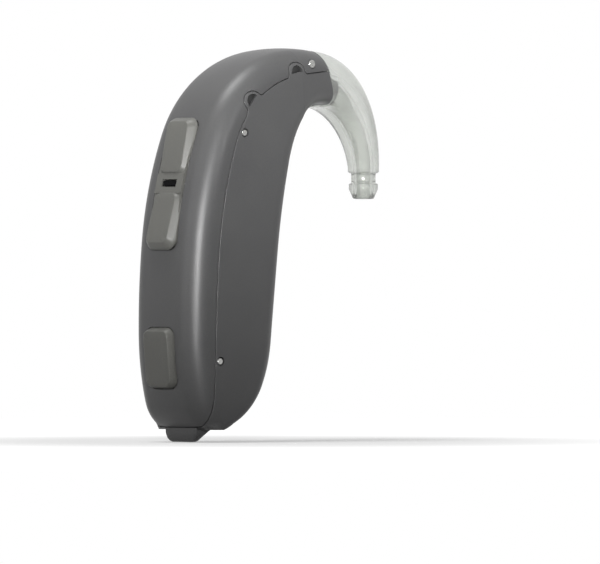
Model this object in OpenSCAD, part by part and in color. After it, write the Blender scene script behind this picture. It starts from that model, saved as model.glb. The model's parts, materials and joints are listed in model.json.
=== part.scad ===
// Behind-the-ear hearing aid with a clear ear hook.
// X runs from the back of the case towards the hook, Y across the case, Z up.
// The case is a loft: the back line and the front line are two chains of seven arcs,
// and a rounded section spans the two lines at every station from 0 (foot) to 7 (hook end).

/* [Case] */
// Full width of the case at its widest
case_width = 10.3; // [8:0.1:13]
// Height of the lowest point of the case above the tip of the nail grip
foot_height = 1.1; // [0.8:0.05:2]
// Back line: length of the flat under the foot
back_foot_len = 0.6; // [0.4:0.05:1]
// Back line: length of the heel curve
back_heel_len = 3.95; // [3.5:0.05:4.5]
// Back line: length behind the battery
back_low_len = 7.3; // [6.8:0.1:8]
// Back line: length of the middle of the back
back_mid_len = 9.55; // [9:0.05:11]
// Back line: length behind the rocker
back_high_len = 11.3; // [10.8:0.1:12.5]
// Back line: length over the crown
back_crown_len = 15.7; // [15:0.1:17]
// Back line: length of the last stretch before the hook
back_brow_len = 3.9; // [3.6:0.1:4.5]
// Front line: length of the flat under the foot
front_foot_len = 0.4; // [0.3:0.05:0.8]
// Front line: length of the round under the battery
front_heel_len = 7.8; // [7.4:0.1:8.4]
// Front line: length in front of the battery
front_low_len = 4.7; // [4.4:0.1:5.4]
// Front line: length of the middle
front_mid_len = 9.4; // [9:0.1:10.4]
// Front line: length of the upper front
front_high_len = 9; // [8.5:0.1:10]
// Front line: length of the bend under the head
front_bend_len = 4.5; // [4.2:0.1:5.2]
// Front line: length of the chin under the hook
front_chin_len = 5.6; // [5.2:0.1:6.2]
// Corner radius along both edges of the back
back_round = 2.2; // [1.5:0.1:2.8]
// Corner radius along both edges of the front
front_round = 1.9; // [1.2:0.1:2.4]
// How far the back bulges in the middle of its width
back_crown = 0.5; // [0.2:0.05:0.9]
// How much each side draws in at the foot
foot_narrowing = 1.25; // [0.8:0.05:1.6]
// How much each side draws in at the hook end
end_narrowing = 1.35; // [0.8:0.05:1.6]
// Wall along the back
back_wall = 1.1; // [0.9:0.05:1.3]
// Wall of both sides
side_wall = 0.8; // [0.7:0.05:1]
// Wall of the front
front_wall = 0.8; // [0.7:0.05:1]

/* [Seam] */
// Distance of the seam between the two shells from the back line
seam_inset = 3.4; // [3:0.05:3.8]
// Width of the seam
seam_gap = 0.06; // [0.04:0.01:0.12]

/* [Microphone ports] */
// Radius of the half-round microphone ports
port_r = 0.75; // [0.5:0.05:0.9]
// Width of the rim of base shell round each port
port_rim = 0.32; // [0.25:0.01:0.5]
// How far the flat edge of a port stands off the seam
port_lift = 0.34; // [0.2:0.02:0.5]
// Thickness of the screens in the ports
screen_thickness = 0.2; // [0.15:0.01:0.3]
// Length of a microphone along the case
microphone_length = 2.2; // [1.8:0.1:2.4]
// Width of a microphone across the case
microphone_width = 3.6; // [3:0.1:4.2]
// Depth of a microphone
microphone_depth = 0.9; // [0.7:0.05:1]
// Rubber round each microphone
boot_wall = 0.25; // [0.2:0.01:0.3]

/* [Buttons] */
// Width of the rocker and of the program button at the case surface
button_width = 4.4; // [4:0.1:5]
// Width of the two flat faces of the rocker
rocker_face_width = 3.4; // [3:0.1:3.8]
// Width of the flat face of the program button
program_face_width = 3.85; // [3.4:0.05:4.2]
// Overall length of the rocker along the back
rocker_length = 13.6; // [13:0.1:14.4]
// Length of the low bridge between the two pads
bridge_length = 1.9; // [1.6:0.1:2.4]
// Place of the rocker's axle along the back line
rocker_place = 27.3; // [26.8:0.1:27.8]
// Height of each pad above the case at its outer end
pad_high = 1.05; // [0.8:0.05:1.3]
// Height of each pad above the case at the bridge
pad_low = 0.26; // [0.15:0.01:0.4]
// Length of the program button
program_length = 6.2; // [5.8:0.1:6.6]
// Place of the middle of the program button along the back line
program_place = 9.3; // [9:0.1:9.6]
// Height of the program button above the case
program_height = 0.7; // [0.5:0.05:0.9]
// Height of the soft bevel round each face
bevel_height = 0.34; // [0.2:0.02:0.5]
// Depth of the recesses in the spine cover
recess_depth = 0.62; // [0.5:0.02:0.7]
// Gap round the buttons
button_gap = 0.12; // [0.08:0.01:0.2]
// Radius of the button axles
axle_r = 0.22; // [0.18:0.01:0.24]
// Running clearance of the button axles
axle_clearance = 0.03; // [0.02:0.01:0.05]
// Width of the light window
window_width = 2.1; // [1.6:0.1:2.4]
// Height of the light window
window_height = 0.55; // [0.4:0.05:0.7]

/* [Battery] */
// Diameter of the cell (size 13)
cell_d = 7.9; // [7.7:0.05:7.95]
// Thickness of the cell (size 13)
cell_thickness = 5.4; // [5.2:0.05:5.5]
// Height of the middle of the cell
cell_z = 7.15; // [7:0.05:7.3]
// Distance of the cell from the back of the case
cell_back_gap = 1.38; // [1.3:0.02:1.5]
// Clearance between cell and carrier
cell_clearance = 0.05; // [0.03:0.01:0.08]
// Wall of the cell carrier
carrier_wall = 0.42; // [0.35:0.01:0.5]
// Width of the cell carrier
carrier_width = 5.2; // [4.6:0.1:5.3]
// Thickness of the door panel
door_wall = 0.72; // [0.6:0.02:0.8]
// Width of the door between the side walls
door_width = 6.7; // [6.2:0.1:7]
// Gap on each side of the door
door_gap = 0.1; // [0.08:0.01:0.2]
// Depth of the door axle behind the front of the case
door_axle_inset = 0.98; // [0.95:0.01:1.1]
// Radius of the door axle
door_axle_r = 0.4; // [0.3:0.02:0.45]
// Running clearance of the door axle
door_axle_clearance = 0.03; // [0.02:0.01:0.06]
// Radius of the door knuckle
knuckle_r = 0.94; // [0.8:0.01:0.96]
// How far the door axle reaches into each side wall
door_axle_grip = 0.8; // [0.6:0.05:0.9]
// Width of the nail grip
grip_width = 5; // [4:0.1:6]
// Depth of the nail grip from back to front
grip_depth = 1.9; // [1.5:0.1:2.4]
// Depth of the nail grip at its lower edge
grip_lip = 0.6; // [0.4:0.05:0.9]
// Corner radius of the nail grip
grip_round = 0.9; // [0.5:0.05:1]
// Thickness of the contact blades
contact_thickness = 0.2; // [0.15:0.01:0.25]
// Width of the contact blades
contact_width = 1.6; // [1.2:0.1:2]
// Length of the contact blades
contact_length = 5.65; // [5.4:0.05:5.7]

/* [Ear hook] */
// Length of the hook from the case to its first bend
hook_root_len = 2; // [1.8:0.1:2.4]
// Length of the hook's upper bend
hook_upper_len = 3.3; // [3:0.1:4]
// Length of the hook's middle bend
hook_middle_len = 2.8; // [2.4:0.1:3.4]
// Length of the hook's lower bend
hook_lower_len = 5.4; // [5:0.1:6]
// Radius of the hook at its end
hook_end_r = 1.62; // [1.5:0.02:1.7]
// Radius of the sound bore
bore_r = 0.72; // [0.6:0.02:0.8]
// Radius of the neck under the barb
neck_r = 1.28; // [1.2:0.02:1.4]
// Length of the neck
neck_length = 1.25; // [1:0.05:1.5]
// Radius of the barb
barb_r = 1.52; // [1.46:0.01:1.58]
// Length of the cylindrical land of the barb
barb_land = 0.6; // [0.4:0.05:0.8]
// Length of the cone of the barb
barb_cone = 1; // [0.8:0.05:1.2]
// Radius of the tip
tip_r = 1.05; // [1:0.01:1.2]
// Radius of the nozzle that the hook sits on
nozzle_r = 1.15; // [1:0.05:1.2]
// How far the nozzle reaches into the hook
nozzle_reach = 1.9; // [1.6:0.1:2]
// Depth of the nozzle's axis under the back line at the hook end
nozzle_depth = 3.75; // [3.6:0.05:3.8]
// Clearance between nozzle and hook
hook_clearance = 0.05; // [0.03:0.01:0.08]
// Width of the tongue that the pin goes through
tongue_width = 2.4; // [2:0.1:3]
// Thickness of the tongue
tongue_thickness = 1.1; // [1:0.05:1.2]

/* [Pins] */
// Radius of the hook pin and the case pins
pin_r = 0.43; // [0.35:0.01:0.5]
// How deep each pin sits under the surface
pin_recess = 0.05; // [0.03:0.01:0.1]
// Length of a case pin
pin_length = 1.45; // [1.3:0.05:1.5]
// Distance of the case pins from the seam
pin_from_seam = 0.7; // [0.6:0.05:0.9]
// Thickness of the lugs that the case pins go through
lug_thickness = 0.62; // [0.5:0.02:0.7]
// Radius of the lugs
lug_r = 0.95; // [0.8:0.05:1.1]

/* [Electronics] */
// Depth of the circuit board under the back of the case
board_depth = 2.45; // [2.4:0.05:2.6]
// Thickness of the circuit board
board_thickness = 0.35; // [0.25:0.05:0.4]
// How far the inner frame stands past each edge of the board
board_margin = 0.5; // [0.3:0.05:0.8]
// Place of the lower end of the board along the back line
board_start = 12; // [11.8:0.1:12.4]
// Place of the upper end of the board along the back line
board_end = 33.4; // [32:0.1:33.6]
// Gap between the inner frame and each side wall
frame_side_gap = 0.65; // [0.55:0.05:0.9]
// Depth of the upper frame rail
rail_depth = 2.4; // [2:0.1:2.6]
// Length of the amplifier chip
chip_length = 5; // [4:0.1:6]
// Width of the amplifier chip
chip_width = 4.2; // [3:0.1:5]
// Thickness of the amplifier chip
chip_thickness = 1; // [0.8:0.05:1.1]
// Place of the chip along the back line
chip_place = 18; // [17.4:0.1:18.6]
// Length of the receiver
receiver_length = 7.8; // [7:0.1:8]
// Depth of the receiver
receiver_depth = 4.3; // [3.8:0.1:4.4]
// Width of the receiver
receiver_width = 5.6; // [5:0.1:6]
// Wall of the receiver's soft boot
receiver_boot_wall = 0.5; // [0.4:0.05:0.55]
// Height of the middle of the receiver
receiver_z = 17.3; // [17.2:0.05:17.5]
// Distance of the receiver's middle from the back of the case
receiver_x = 7.75; // [7.6:0.05:7.9]
// Outer radius of the sound tube
tube_r = 0.75; // [0.65:0.05:0.8]
// Radius of the bore in the sound tube
tube_bore_r = 0.4; // [0.35:0.05:0.45]
// Length of the telecoil
telecoil_length = 6; // [5:0.1:6.4]
// Radius of the telecoil
telecoil_r = 0.7; // [0.6:0.05:0.8]
// Side of a switch
switch_side = 2; // [1.6:0.1:2.2]
// Height of a switch
switch_height = 0.45; // [0.35:0.05:0.5]
// Radius of the plungers under the buttons
plunger_r = 0.5; // [0.4:0.05:0.6]
// Distance of the rocker's plungers from its axle
plunger_place = 4.4; // [4.2:0.1:4.6]
// Free travel between a plunger and its switch
switch_travel = 0.24; // [0.2:0.01:0.28]

/* [Hidden] */

// Overrun of every cut
over = 2;
// Small clearance between parts that are seated on each other
seat = 0.05;
frame_width = case_width - 2 * (side_wall + frame_side_gap);
board_width = frame_width - 2 * board_margin;

// The two lines
back_lens = [back_foot_len, back_heel_len, back_low_len, back_mid_len, back_high_len,
  back_crown_len, back_brow_len];
back_turns = [-16, -60.5, -12.9, -6.2, -15.1, -65.7, -11.7];
front_lens = [front_foot_len, front_heel_len, front_low_len, front_mid_len, front_high_len,
  front_bend_len, front_chin_len];
front_turns = [10, 56.3, 18.1, -0.4, -7.6, -17.3, -72.2];
last = len(back_lens);

// A step along an arc from p = [x, z, heading]
function walk(p, length, turn) =
  let (r = turn == 0 ? 0 : length / (turn * PI / 180), h = p[2] + turn)
  turn == 0 ? [p[0] + length * cos(h), p[1] + length * sin(h), h]
  : [p[0] + r * (sin(h) - sin(p[2])), p[1] + r * (cos(p[2]) - cos(h)), h];
function joints(p, lens, turns, k = 0) =
  k == len(lens) ? [p] : concat([p], joints(walk(p, lens[k], turns[k]), lens, turns, k + 1));
function on_chain(line, lens, turns, t) =
  let (k = min(floor(t), len(lens) - 1), f = t - k) walk(line[k], f * lens[k], f * turns[k]);
function station(s, lens, k = 0) =
  k == len(lens) - 1 || s <= lens[k] ? k + s / lens[k] : station(s - lens[k], lens, k + 1);
function sum(v, k = 0) = k == len(v) ? 0 : v[k] + sum(v, k + 1);

// The foot is placed so that the whole aid is centred on the origin
draft_back = joints([0, foot_height, 180], back_lens, back_turns);
draft_front = joints([0, foot_height, 0], front_lens, front_turns);
hook_lens = [hook_root_len, hook_upper_len, hook_middle_len, hook_lower_len];
hook_turns = [-12, -24, -18, -28];
hook_heading = -8;
draft_hook = joints([(draft_back[last][0] + draft_front[last][0]) / 2, 0, hook_heading],
  hook_lens, hook_turns);
draft_program = on_chain(draft_back, back_lens, back_turns,
  station(program_place + program_length / 2, back_lens));
foot_x = -(draft_hook[len(hook_lens)][0] + hook_end_r + draft_program[0] - program_height) / 2;
back_line = joints([foot_x, foot_height, 180], back_lens, back_turns);
front_line = joints([foot_x, foot_height, 0], front_lens, front_turns);

function back(t) = on_chain(back_line, back_lens, back_turns, t);
function front(t) = on_chain(front_line, front_lens, front_turns, t);
// A point h outside the back line at the length s along it, and the same at a station
function off_back(t, h) = let (p = back(t)) [p[0] - h * sin(p[2]), p[1] + h * cos(p[2])];
function on_back(s, h) = off_back(station(s, back_lens), h);
function off_front(t, h) = let (p = front(t)) [p[0] + h * sin(p[2]), p[1] - h * cos(p[2])];
// A point in the section plane of a station, at a depth from the back line
function deep(t, depth) =
  let (a = back(t), b = front(t), d = norm([b[0] - a[0], b[1] - a[1]]))
  [a[0] + (b[0] - a[0]) * depth / d, a[1] + (b[1] - a[1]) * depth / d];
function full_depth(t) = let (a = back(t), b = front(t)) norm([b[0] - a[0], b[1] - a[1]]);

// Half the width of the case at a station
foot_taper_end = 2.5;
end_taper_start = 4;
function half_width(t) =
  let (low = max(0, foot_taper_end - t) / foot_taper_end,
    high = max(0, t - end_taper_start) / (last - end_taper_start))
  case_width / 2 - foot_narrowing * pow(low, 2) - end_narrowing * pow(high, 2.5);

// Depth of the seam under the back line at a station
seam_foot = 1.3;
seam_full = 3.8;
seam_turn = 4.2;
seam_end_share = 0.32;
function seam_depth(t) =
  let (low = max(0, seam_full - t) / (seam_full - seam_foot),
    high = max(0, t - seam_turn) / (last - seam_turn))
  seam_inset * (1 - pow(low, 3) - seam_end_share * pow(high, 1.5));

// One closed section with its walls drawn in by the three insets
corner_share = 0.42;
least_round_share = 0.2;
crown_share = 0.12;
function half_section(t, back_in, side_in, front_in, back_steps, front_steps) =
  let (d = full_depth(t), w = half_width(t) - side_in,
    rb0 = min(back_round, corner_share * d), rf0 = min(front_round, corner_share * d),
    rb = max(rb0 - side_in, least_round_share * rb0),
    rf = max(rf0 - side_in, least_round_share * rf0),
    crown = min(back_crown, crown_share * d),
    raw = concat(
      [[back_in, 0], [back_in, (w - rb) / 3], [back_in, (w - rb) * 2 / 3]],
      [for (k = [0 : back_steps]) let (a = 90 * k / back_steps)
        [back_in + rb * (1 - cos(a)), w - rb + rb * sin(a)]],
      [for (k = [front_steps : -1 : 0]) let (a = 90 * k / front_steps)
        [d - front_in - rf * (1 - cos(a)), w - rf + rf * sin(a)]],
      [[d - front_in, 0]]))
  [for (q = raw) [q[0] + crown * pow(q[1] / (w + side_in), 2) * pow(1 - q[0] / d, 2), q[1]]];
function ring(t, back_in, side_in, front_in, back_steps, front_steps) =
  let (h = half_section(t, back_in, side_in, front_in, back_steps, front_steps), n = len(h))
  [for (k = [0 : 2 * n - 3]) let (q = k < n ? h[k] : h[2 * n - 2 - k], p = deep(t, q[0]))
    [p[0], k < n ? q[1] : -q[1], p[1]]];

// A closed skin over rings of equal point counts
module loft(rings) {
  n = len(rings[0]);
  m = len(rings);
  ends = [for (r = [rings[0], rings[m - 1]]) [for (axis = [0 : 2]) sum([for (p = r) p[axis]]) / n]];
  sides = [for (j = [0 : m - 2], i = [0 : n - 1]) let (a = j * n + i, b = j * n + (i + 1) % n)
    each [[a, b, b + n], [a, b + n, a + n]]];
  first = [for (i = [0 : n - 1]) [m * n, (i + 1) % n, i]];
  final = [for (i = [0 : n - 1]) [m * n + 1, (m - 1) * n + i, (m - 1) * n + (i + 1) % n]];
  polyhedron(points = concat([for (r = rings) each r], ends), faces = concat(sides, first, final));
}

// Stations of the outer skin and of the cavity
skin_station_shares = concat([0.6, 1], [for (k = [1 : 6]) 1 + k / 6], [for (k = [1 : 3]) 2 + k / 3],
  [for (k = [1 : 3]) 3 + k / 3], [for (k = [1 : 4]) 4 + k / 4], [for (k = [1 : 14]) 5 + k / 14],
  [for (k = [1 : 5]) 6 + k / 5]);
cavity_station_shares = concat([for (k = [0 : 3]) 1.4 + 0.2 * k], [for (k = [1 : 3]) 2 + k / 3],
  [for (k = [1 : 3]) 3 + k / 3], [for (k = [1 : 3]) 4 + k / 3], [for (k = [1 : 9]) 5 + k / 9],
  [for (k = [1 : 4]) 6 + k / 4]);
module case_solid() {
  loft([for (t = skin_station_shares) ring(t, 0, 0, 0, 6, 4)]);
}
module case_cavity(extra = 0) {
  walls = [back_wall + extra, side_wall + extra, front_wall + extra];
  loft(concat([for (t = cavity_station_shares) ring(t, walls[0], walls[1], walls[2], 4, 3)],
    [past_end(ring(last, walls[0], walls[1], walls[2], 4, 3))]));
}
// The direction that the hook end faces
end_angle = let (a = back(last), b = front(last)) atan2(b[1] - a[1], b[0] - a[0]) + 90;
function past_end(r) = [for (p = r) [p[0] + over * cos(end_angle), p[1], p[2] + over * sin(end_angle)]];

// A flat outline in the XZ plane, made thick across the case
module across(width) {
  rotate([90, 0, 0]) linear_extrude(height = width, center = true) children();
}
// A round bar across the case
module bar(p, r, width, y = 0) {
  translate([p[0], y, p[1]]) rotate([90, 0, 0]) cylinder(r = r, h = width, center = true, $fn = 48);
}
// The same thing on both sides of the case
module both_sides() {
  children();
  mirror([0, 1, 0]) children();
}
// Children stand on the back of the case, X along it and Z out of it
module stand_on_back(s) {
  p = back(station(s, back_lens));
  translate([p[0], 0, p[1]]) rotate([0, -p[2], 0]) children();
}
// A band that follows the back between two places and two heights
module back_band(s0, s1, h0, h1, width) {
  steps = 10;
  across(width) polygon(concat(
    [for (k = [0 : steps]) on_back(s0 + (s1 - s0) * k / steps, h0)],
    [for (k = [steps : -1 : 0]) on_back(s0 + (s1 - s0) * k / steps, h1)]));
}
// A rounded rectangle, and a block of that outline
corner_steps = 6;
module round_outline(length, width, corner) {
  polygon([for (q = [[1, 1, 0], [-1, 1, 90], [-1, -1, 180], [1, -1, 270]], k = [0 : corner_steps])
    let (a = q[2] + 90 * k / corner_steps)
    [q[0] * (length / 2 - corner) + corner * cos(a), q[1] * (width / 2 - corner) + corner * sin(a)]]);
}
module round_block(length, width, corner, height) {
  translate([0, 0, -height / 2]) linear_extrude(height = height) round_outline(length, width, corner);
}

// Everything on the back side of the seam, drawn back by half the gap
module back_side(shift) {
  steps = 60;
  seam = [for (k = [0 : steps]) let (t = seam_foot + (last - seam_foot) * k / steps)
    deep(t, seam_depth(t) + shift)];
  far = [for (k = [steps : -1 : 0]) off_back(seam_foot + (last - seam_foot) * k / steps, over)];
  end_step = [over * cos(end_angle), over * sin(end_angle)];
  across(case_width + 2 * over) difference() {
    polygon(concat(seam, [seam[steps] + end_step, far[0] + end_step], far));
    for (t = port_station_shares)
      translate(port_middle(t)) circle(r = port_r + port_rim - shift, $fn = 48);
  }
}

// Microphone ports
port_station_shares = [5.38, 5.94];
function port_depth(t) = seam_depth(t) - port_lift;
function port_middle(t) = deep(t, port_depth(t));
function back_angle(t) = let (a = deep(t, 0), b = deep(t, seam_inset)) atan2(a[1] - b[1], a[0] - b[0]);
// The half round of a port, across the whole case
module port_shape(t, r, width) {
  p = port_middle(t);
  intersection() {
    bar(p, r, width);
    translate([p[0], 0, p[1]]) rotate([0, -back_angle(t), 0])
      translate([0, -width, -2 * r]) cube([2 * r, 2 * width, 4 * r]);
  }
}
function wall_inside(t) = half_width(t) - side_wall;

// Case pins
upper_pin_station_share = 5.1;
lower_pin_station_share = 2.6;
function pin_place(t) = deep(t, seam_depth(t) + pin_from_seam);
module pin_pair(t) {
  both_sides()
    bar(pin_place(t), pin_r, pin_length, half_width(t) - pin_recess - pin_length / 2);
}
module pin_holes(t) {
  bar(pin_place(t), pin_r, case_width + 2 * over);
}
// A lug of the spine cover that reaches past the seam behind the side wall
lug_half_share = 0.07;
module case_lug(t) {
  p = pin_place(t);
  inner = wall_inside(t) - seat;
  both_sides() {
    bar(p, lug_r, lug_thickness, inner - lug_thickness / 2);
    translate([0, inner - lug_thickness / 2, 0]) across(lug_thickness) lug_outline(t, p);
    translate([0, inner - lug_thickness / 2 + seat, 0]) across(lug_thickness + 2 * seat)
      polygon([deep(t - lug_half_share, back_round), deep(t + lug_half_share, back_round),
        deep(t + lug_half_share, seam_depth(t) - 2 * seam_gap),
        deep(t - lug_half_share, seam_depth(t) - 2 * seam_gap)]);
  }
}
module lug_outline(t, p) {
  a = back_angle(t);
  side = [-lug_r * sin(a), lug_r * cos(a)];
  foot = deep(t, back_round);
  polygon([p + side, foot + side, foot - side, p - side]);
}

// Spine cover
rocker_top = rocker_place + rocker_length / 2;
rocker_bottom = rocker_place - rocker_length / 2;
program_top = program_place + program_length / 2;
program_bottom = program_place - program_length / 2;
button_corner = 1.1;
module recess(s, length, depth) {
  intersection() {
    back_band(s - length / 2 - over, s + length / 2 + over, -depth, over, case_width);
    stand_on_back(s) round_block(length, button_width + 2 * button_gap, button_corner, 4 * over);
  }
}
axle_depth = 0.42;
bridge_depth = 0.78;
bridge_height = 0.1;
knuckle_wall = 0.13;
program_axle_place = program_bottom + button_corner;
program_plunger_place = program_top - plunger_r - button_gap;
module button_openings() {
  bar(on_back(program_axle_place, -axle_depth), axle_r + knuckle_wall + button_gap,
    button_width + button_gap);
  recess(rocker_place, rocker_length + 2 * button_gap, recess_depth);
  recess(program_place, program_length + 2 * button_gap, recess_depth);
  stand_on_back(rocker_place) translate([0, 0, over - bridge_depth - button_gap])
    cube([bridge_length + 2 * button_gap, button_width + 2 * button_gap, 2 * over], center = true);
  stand_on_back(rocker_place)
    cube([window_height + 4 * button_gap, window_width + 4 * button_gap, 2 * over + back_wall],
      center = true);
  for (s = [rocker_place - plunger_place, rocker_place + plunger_place, program_plunger_place])
    stand_on_back(s) cylinder(r = plunger_r + button_gap, h = 2 * over, center = true, $fn = 32);
}
axle_reach = button_width / 2 + button_gap + 2 * axle_r;
module spine_cover() {
  color("dimgray") difference() {
    union() {
      intersection() {
        difference() {
          case_solid();
          case_cavity();
        }
        back_side(-seam_gap / 2);
      }
      case_lug(upper_pin_station_share);
      case_lug(lower_pin_station_share);
    }
    button_openings();
    bar(on_back(rocker_place, -axle_depth), axle_r, 2 * axle_reach);
    bar(on_back(program_axle_place, -axle_depth), axle_r, 2 * axle_reach);
    pin_holes(upper_pin_station_share);
    pin_holes(lower_pin_station_share);
    bar(hook_pin_place(), pin_r, case_width + 2 * over);
  }
}

// Base shell
door_axle_station_share = 3;
function door_axle_point() = off_front(door_axle_station_share, -door_axle_inset);
module base_shell() {
  p = door_axle_point();
  clear_width = door_width + 2 * door_gap;
  door_head = p[1] + door_axle_inset + door_gap;
  wall_end = half_width(door_axle_station_share) - side_wall / 2;
  color("dimgray") difference() {
    union() {
      difference() {
        case_solid();
        case_cavity();
        back_side(seam_gap / 2);
        across(clear_width) polygon([[foot_x - case_width, -over], [p[0] + 2 * over, -over],
          [p[0] + 2 * over, door_head], [foot_x - case_width, door_head]]);
      }
      intersection() {
        case_solid();
        both_sides() bar(p, knuckle_r, wall_end - clear_width / 2, (wall_end + clear_width / 2) / 2);
      }
    }
    bar(p, door_axle_r, clear_width + 2 * door_axle_grip);
    pin_holes(upper_pin_station_share);
    pin_holes(lower_pin_station_share);
    for (t = port_station_shares) port_shape(t, port_r, case_width + 2 * over);
  }
}

// Case pins
module upper_case_pins() {
  color("silver") pin_pair(upper_pin_station_share);
}
module lower_case_pins() {
  color("silver") pin_pair(lower_pin_station_share);
}

// Ear hook
hook_start = deep(last, full_depth(last) / 2);
hook_line = joints([hook_start[0], hook_start[1], hook_heading], hook_lens, hook_turns);
hook_length = sum(hook_lens);
hook_blend_share = 0.3;
hook_taper = 1.4;
function hook_at(f) = on_chain(hook_line, hook_lens, hook_turns, station(f * hook_length, hook_lens));
function hook_ring(f) =
  let (c = hook_at(f), lean = (end_angle - hook_heading) * pow(max(0, 1 - f / hook_blend_share), 2),
    face = c[2] + lean, d = full_depth(last), h = ring(last, 0, 0, 0, 6, 4),
    keep = pow(1 - f, hook_taper))
  [for (q = h)
    let (v = [q[0] - hook_start[0], q[2] - hook_start[1]],
      x = v[0] * sin(end_angle) - v[1] * cos(end_angle), y = q[1], a = atan2(y, x),
      r = norm([x, y]) * keep + hook_end_r * (1 - keep))
    [c[0] + r * cos(a) * sin(face), r * sin(a), c[1] - r * cos(a) * cos(face)]];
hook_steps = 22;
// The bore, from the end of the hook back to the nozzle, and one of its bends
bore_shares = [0.38, 0.425];
bore_lens = hook_length * bore_shares;
bore_turns = [30, 38];
hook_end = hook_line[len(hook_lens)];
bore_line = joints([hook_end[0], hook_end[1], 90], bore_lens, bore_turns);
bore_overlap = 2;
module bore_arc(k, r, early = 0) {
  p = bore_line[k];
  bend = bore_lens[k] / (bore_turns[k] * PI / 180);
  translate([p[0], 0, p[1]]) rotate([0, -p[2], 0]) rotate([90, 0, 0])
    translate([0, bend]) rotate([0, 0, -90 - early])
      rotate_extrude(angle = bore_turns[k] + early, $fn = 96) translate([bend, 0]) circle(r = r, $fn = 32);
}
module at_hook_end() {
  p = hook_end;
  translate([p[0], 0, p[1]]) rotate([0, 90 - p[2], 0]) children();
}
barb_length = neck_length + barb_land + barb_cone;
module at_nozzle() {
  p = deep(last, nozzle_depth);
  translate([p[0], 0, p[1]]) rotate([0, 90 - hook_heading, 0]) children();
}
tongue_start = 6.2;
tongue_top = back_wall + seat;
module tongue() {
  steps = 6;
  across(tongue_width) polygon(concat(
    [for (k = [0 : steps]) deep(tongue_start + (last - tongue_start) * k / steps, tongue_top)],
    [deep(last, tongue_top) + [cos(end_angle), sin(end_angle)] * tongue_thickness,
      deep(last, tongue_top + tongue_thickness) + [cos(end_angle), sin(end_angle)] * tongue_thickness],
    [for (k = [steps : -1 : 0])
      deep(tongue_start + (last - tongue_start) * k / steps, tongue_top + tongue_thickness)]));
}
hook_pin_station_share = 6.44;
function hook_pin_place() = deep(hook_pin_station_share, tongue_top + tongue_thickness / 2);
module ear_hook() {
  color("honeydew") difference() {
    union() {
      translate([seam_gap * cos(end_angle), 0, seam_gap * sin(end_angle)])
        loft([for (k = [0 : hook_steps]) hook_ring(k / hook_steps)]);
      tongue();
      at_hook_end() {
        translate([0, 0, -neck_length]) cylinder(r = neck_r, h = 2 * neck_length, $fn = 48);
        translate([0, 0, neck_length]) cylinder(r = barb_r, h = barb_land, $fn = 48);
        translate([0, 0, neck_length + barb_land])
          cylinder(r1 = barb_r, r2 = tip_r, h = barb_cone, $fn = 48);
      }
    }
    bore_arc(0, bore_r);
    bore_arc(1, bore_r + seat, bore_overlap);
    at_hook_end() translate([0, 0, -2 * seat])
      cylinder(r = bore_r + seat / 2, h = barb_length + over, $fn = 32);
    at_nozzle() translate([0, 0, -over])
      cylinder(r = nozzle_r + hook_clearance, h = over + nozzle_reach + hook_clearance, $fn = 48);
    bar(hook_pin_place(), pin_r, case_width);
  }
}
module hook_pin() {
  t = hook_pin_station_share;
  r = back_round;
  dip = r - tongue_top - tongue_thickness / 2;
  half = half_width(t) - r + sqrt(r * r - dip * dip) - pin_recess;
  color("silver") bar(hook_pin_place(), pin_r, 2 * half);
}

// Nozzle: the block that closes the end of the case, with the spout for the hook
nozzle_block_length = 1.45;
nozzle_set_back = 0.55;
nozzle_block_width = case_width - 2 * (end_narrowing + side_wall + seat);
nozzle_block_height = 2;
spigot_length = 0.9;
module nozzle() {
  color("dimgray") at_nozzle() difference() {
    union() {
      translate([0, 0, -nozzle_block_length - nozzle_set_back]) linear_extrude(height = nozzle_block_length)
        round_outline(nozzle_block_height, nozzle_block_width, nozzle_block_height / 4);
      translate([0, 0, -nozzle_set_back - nozzle_block_length / 2])
        cylinder(r = nozzle_r, h = nozzle_set_back + nozzle_block_length / 2 + nozzle_reach, $fn = 48);
      translate([0, 0, -nozzle_set_back - nozzle_block_length - spigot_length])
        cylinder(r = tube_bore_r + tube_grip, h = nozzle_block_length, $fn = 32);
    }
    translate([0, 0, -nozzle_set_back - nozzle_block_length - spigot_length - over])
      cylinder(r = spigot_bore_r, h = nozzle_set_back + nozzle_block_length + spigot_length
        + nozzle_reach + 2 * over, $fn = 32);
  }
}
tube_grip = 0.1;
spigot_bore_r = 0.3;

// Sound tube: from the nozzle down to the receiver
tube_turns = [60, 38];
tube_lens = [6.4, 13.5];
tube_straight = 0.4;
tube_line = let (p = deep(last, nozzle_depth), back_off = nozzle_set_back + nozzle_block_length + 2 * seat)
  joints([p[0] - back_off * cos(hook_heading), p[1] - back_off * sin(hook_heading), hook_heading + 180],
    concat([tube_straight], tube_lens), concat([0], tube_turns));
// A bend of the tube, started a little early so that it overlaps the piece before it
tube_overlap = 3;
module tube_arc(k, r) {
  p = tube_line[k + 1];
  turn = tube_turns[k];
  bend = tube_lens[k] / (turn * PI / 180);
  translate([p[0], 0, p[1]]) rotate([0, -p[2], 0]) rotate([90, 0, 0])
    translate([0, bend]) rotate([0, 0, -90 - tube_overlap])
      rotate_extrude(angle = turn + tube_overlap, $fn = 96) translate([bend, 0]) circle(r = r, $fn = 24);
}
module tube_shape(r) {
  p = tube_line[0];
  translate([p[0], 0, p[1]]) rotate([0, 90 - p[2], 0]) cylinder(r = r + seat, h = tube_straight, $fn = 24);
  tube_arc(0, r);
  tube_arc(1, r + seat);
}
module sound_tube() {
  p = tube_line[0];
  color("lightgray") difference() {
    tube_shape(tube_r);
    translate([p[0], 0, p[1]]) rotate([0, 90 - p[2], 0]) translate([0, 0, -over])
      cylinder(r = tube_bore_r + tube_grip + seat / 2, h = over + spigot_length, $fn = 24);
    tube_arc(0, tube_bore_r);
    tube_arc(1, tube_bore_r + seat / 2);
  }
}

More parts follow.
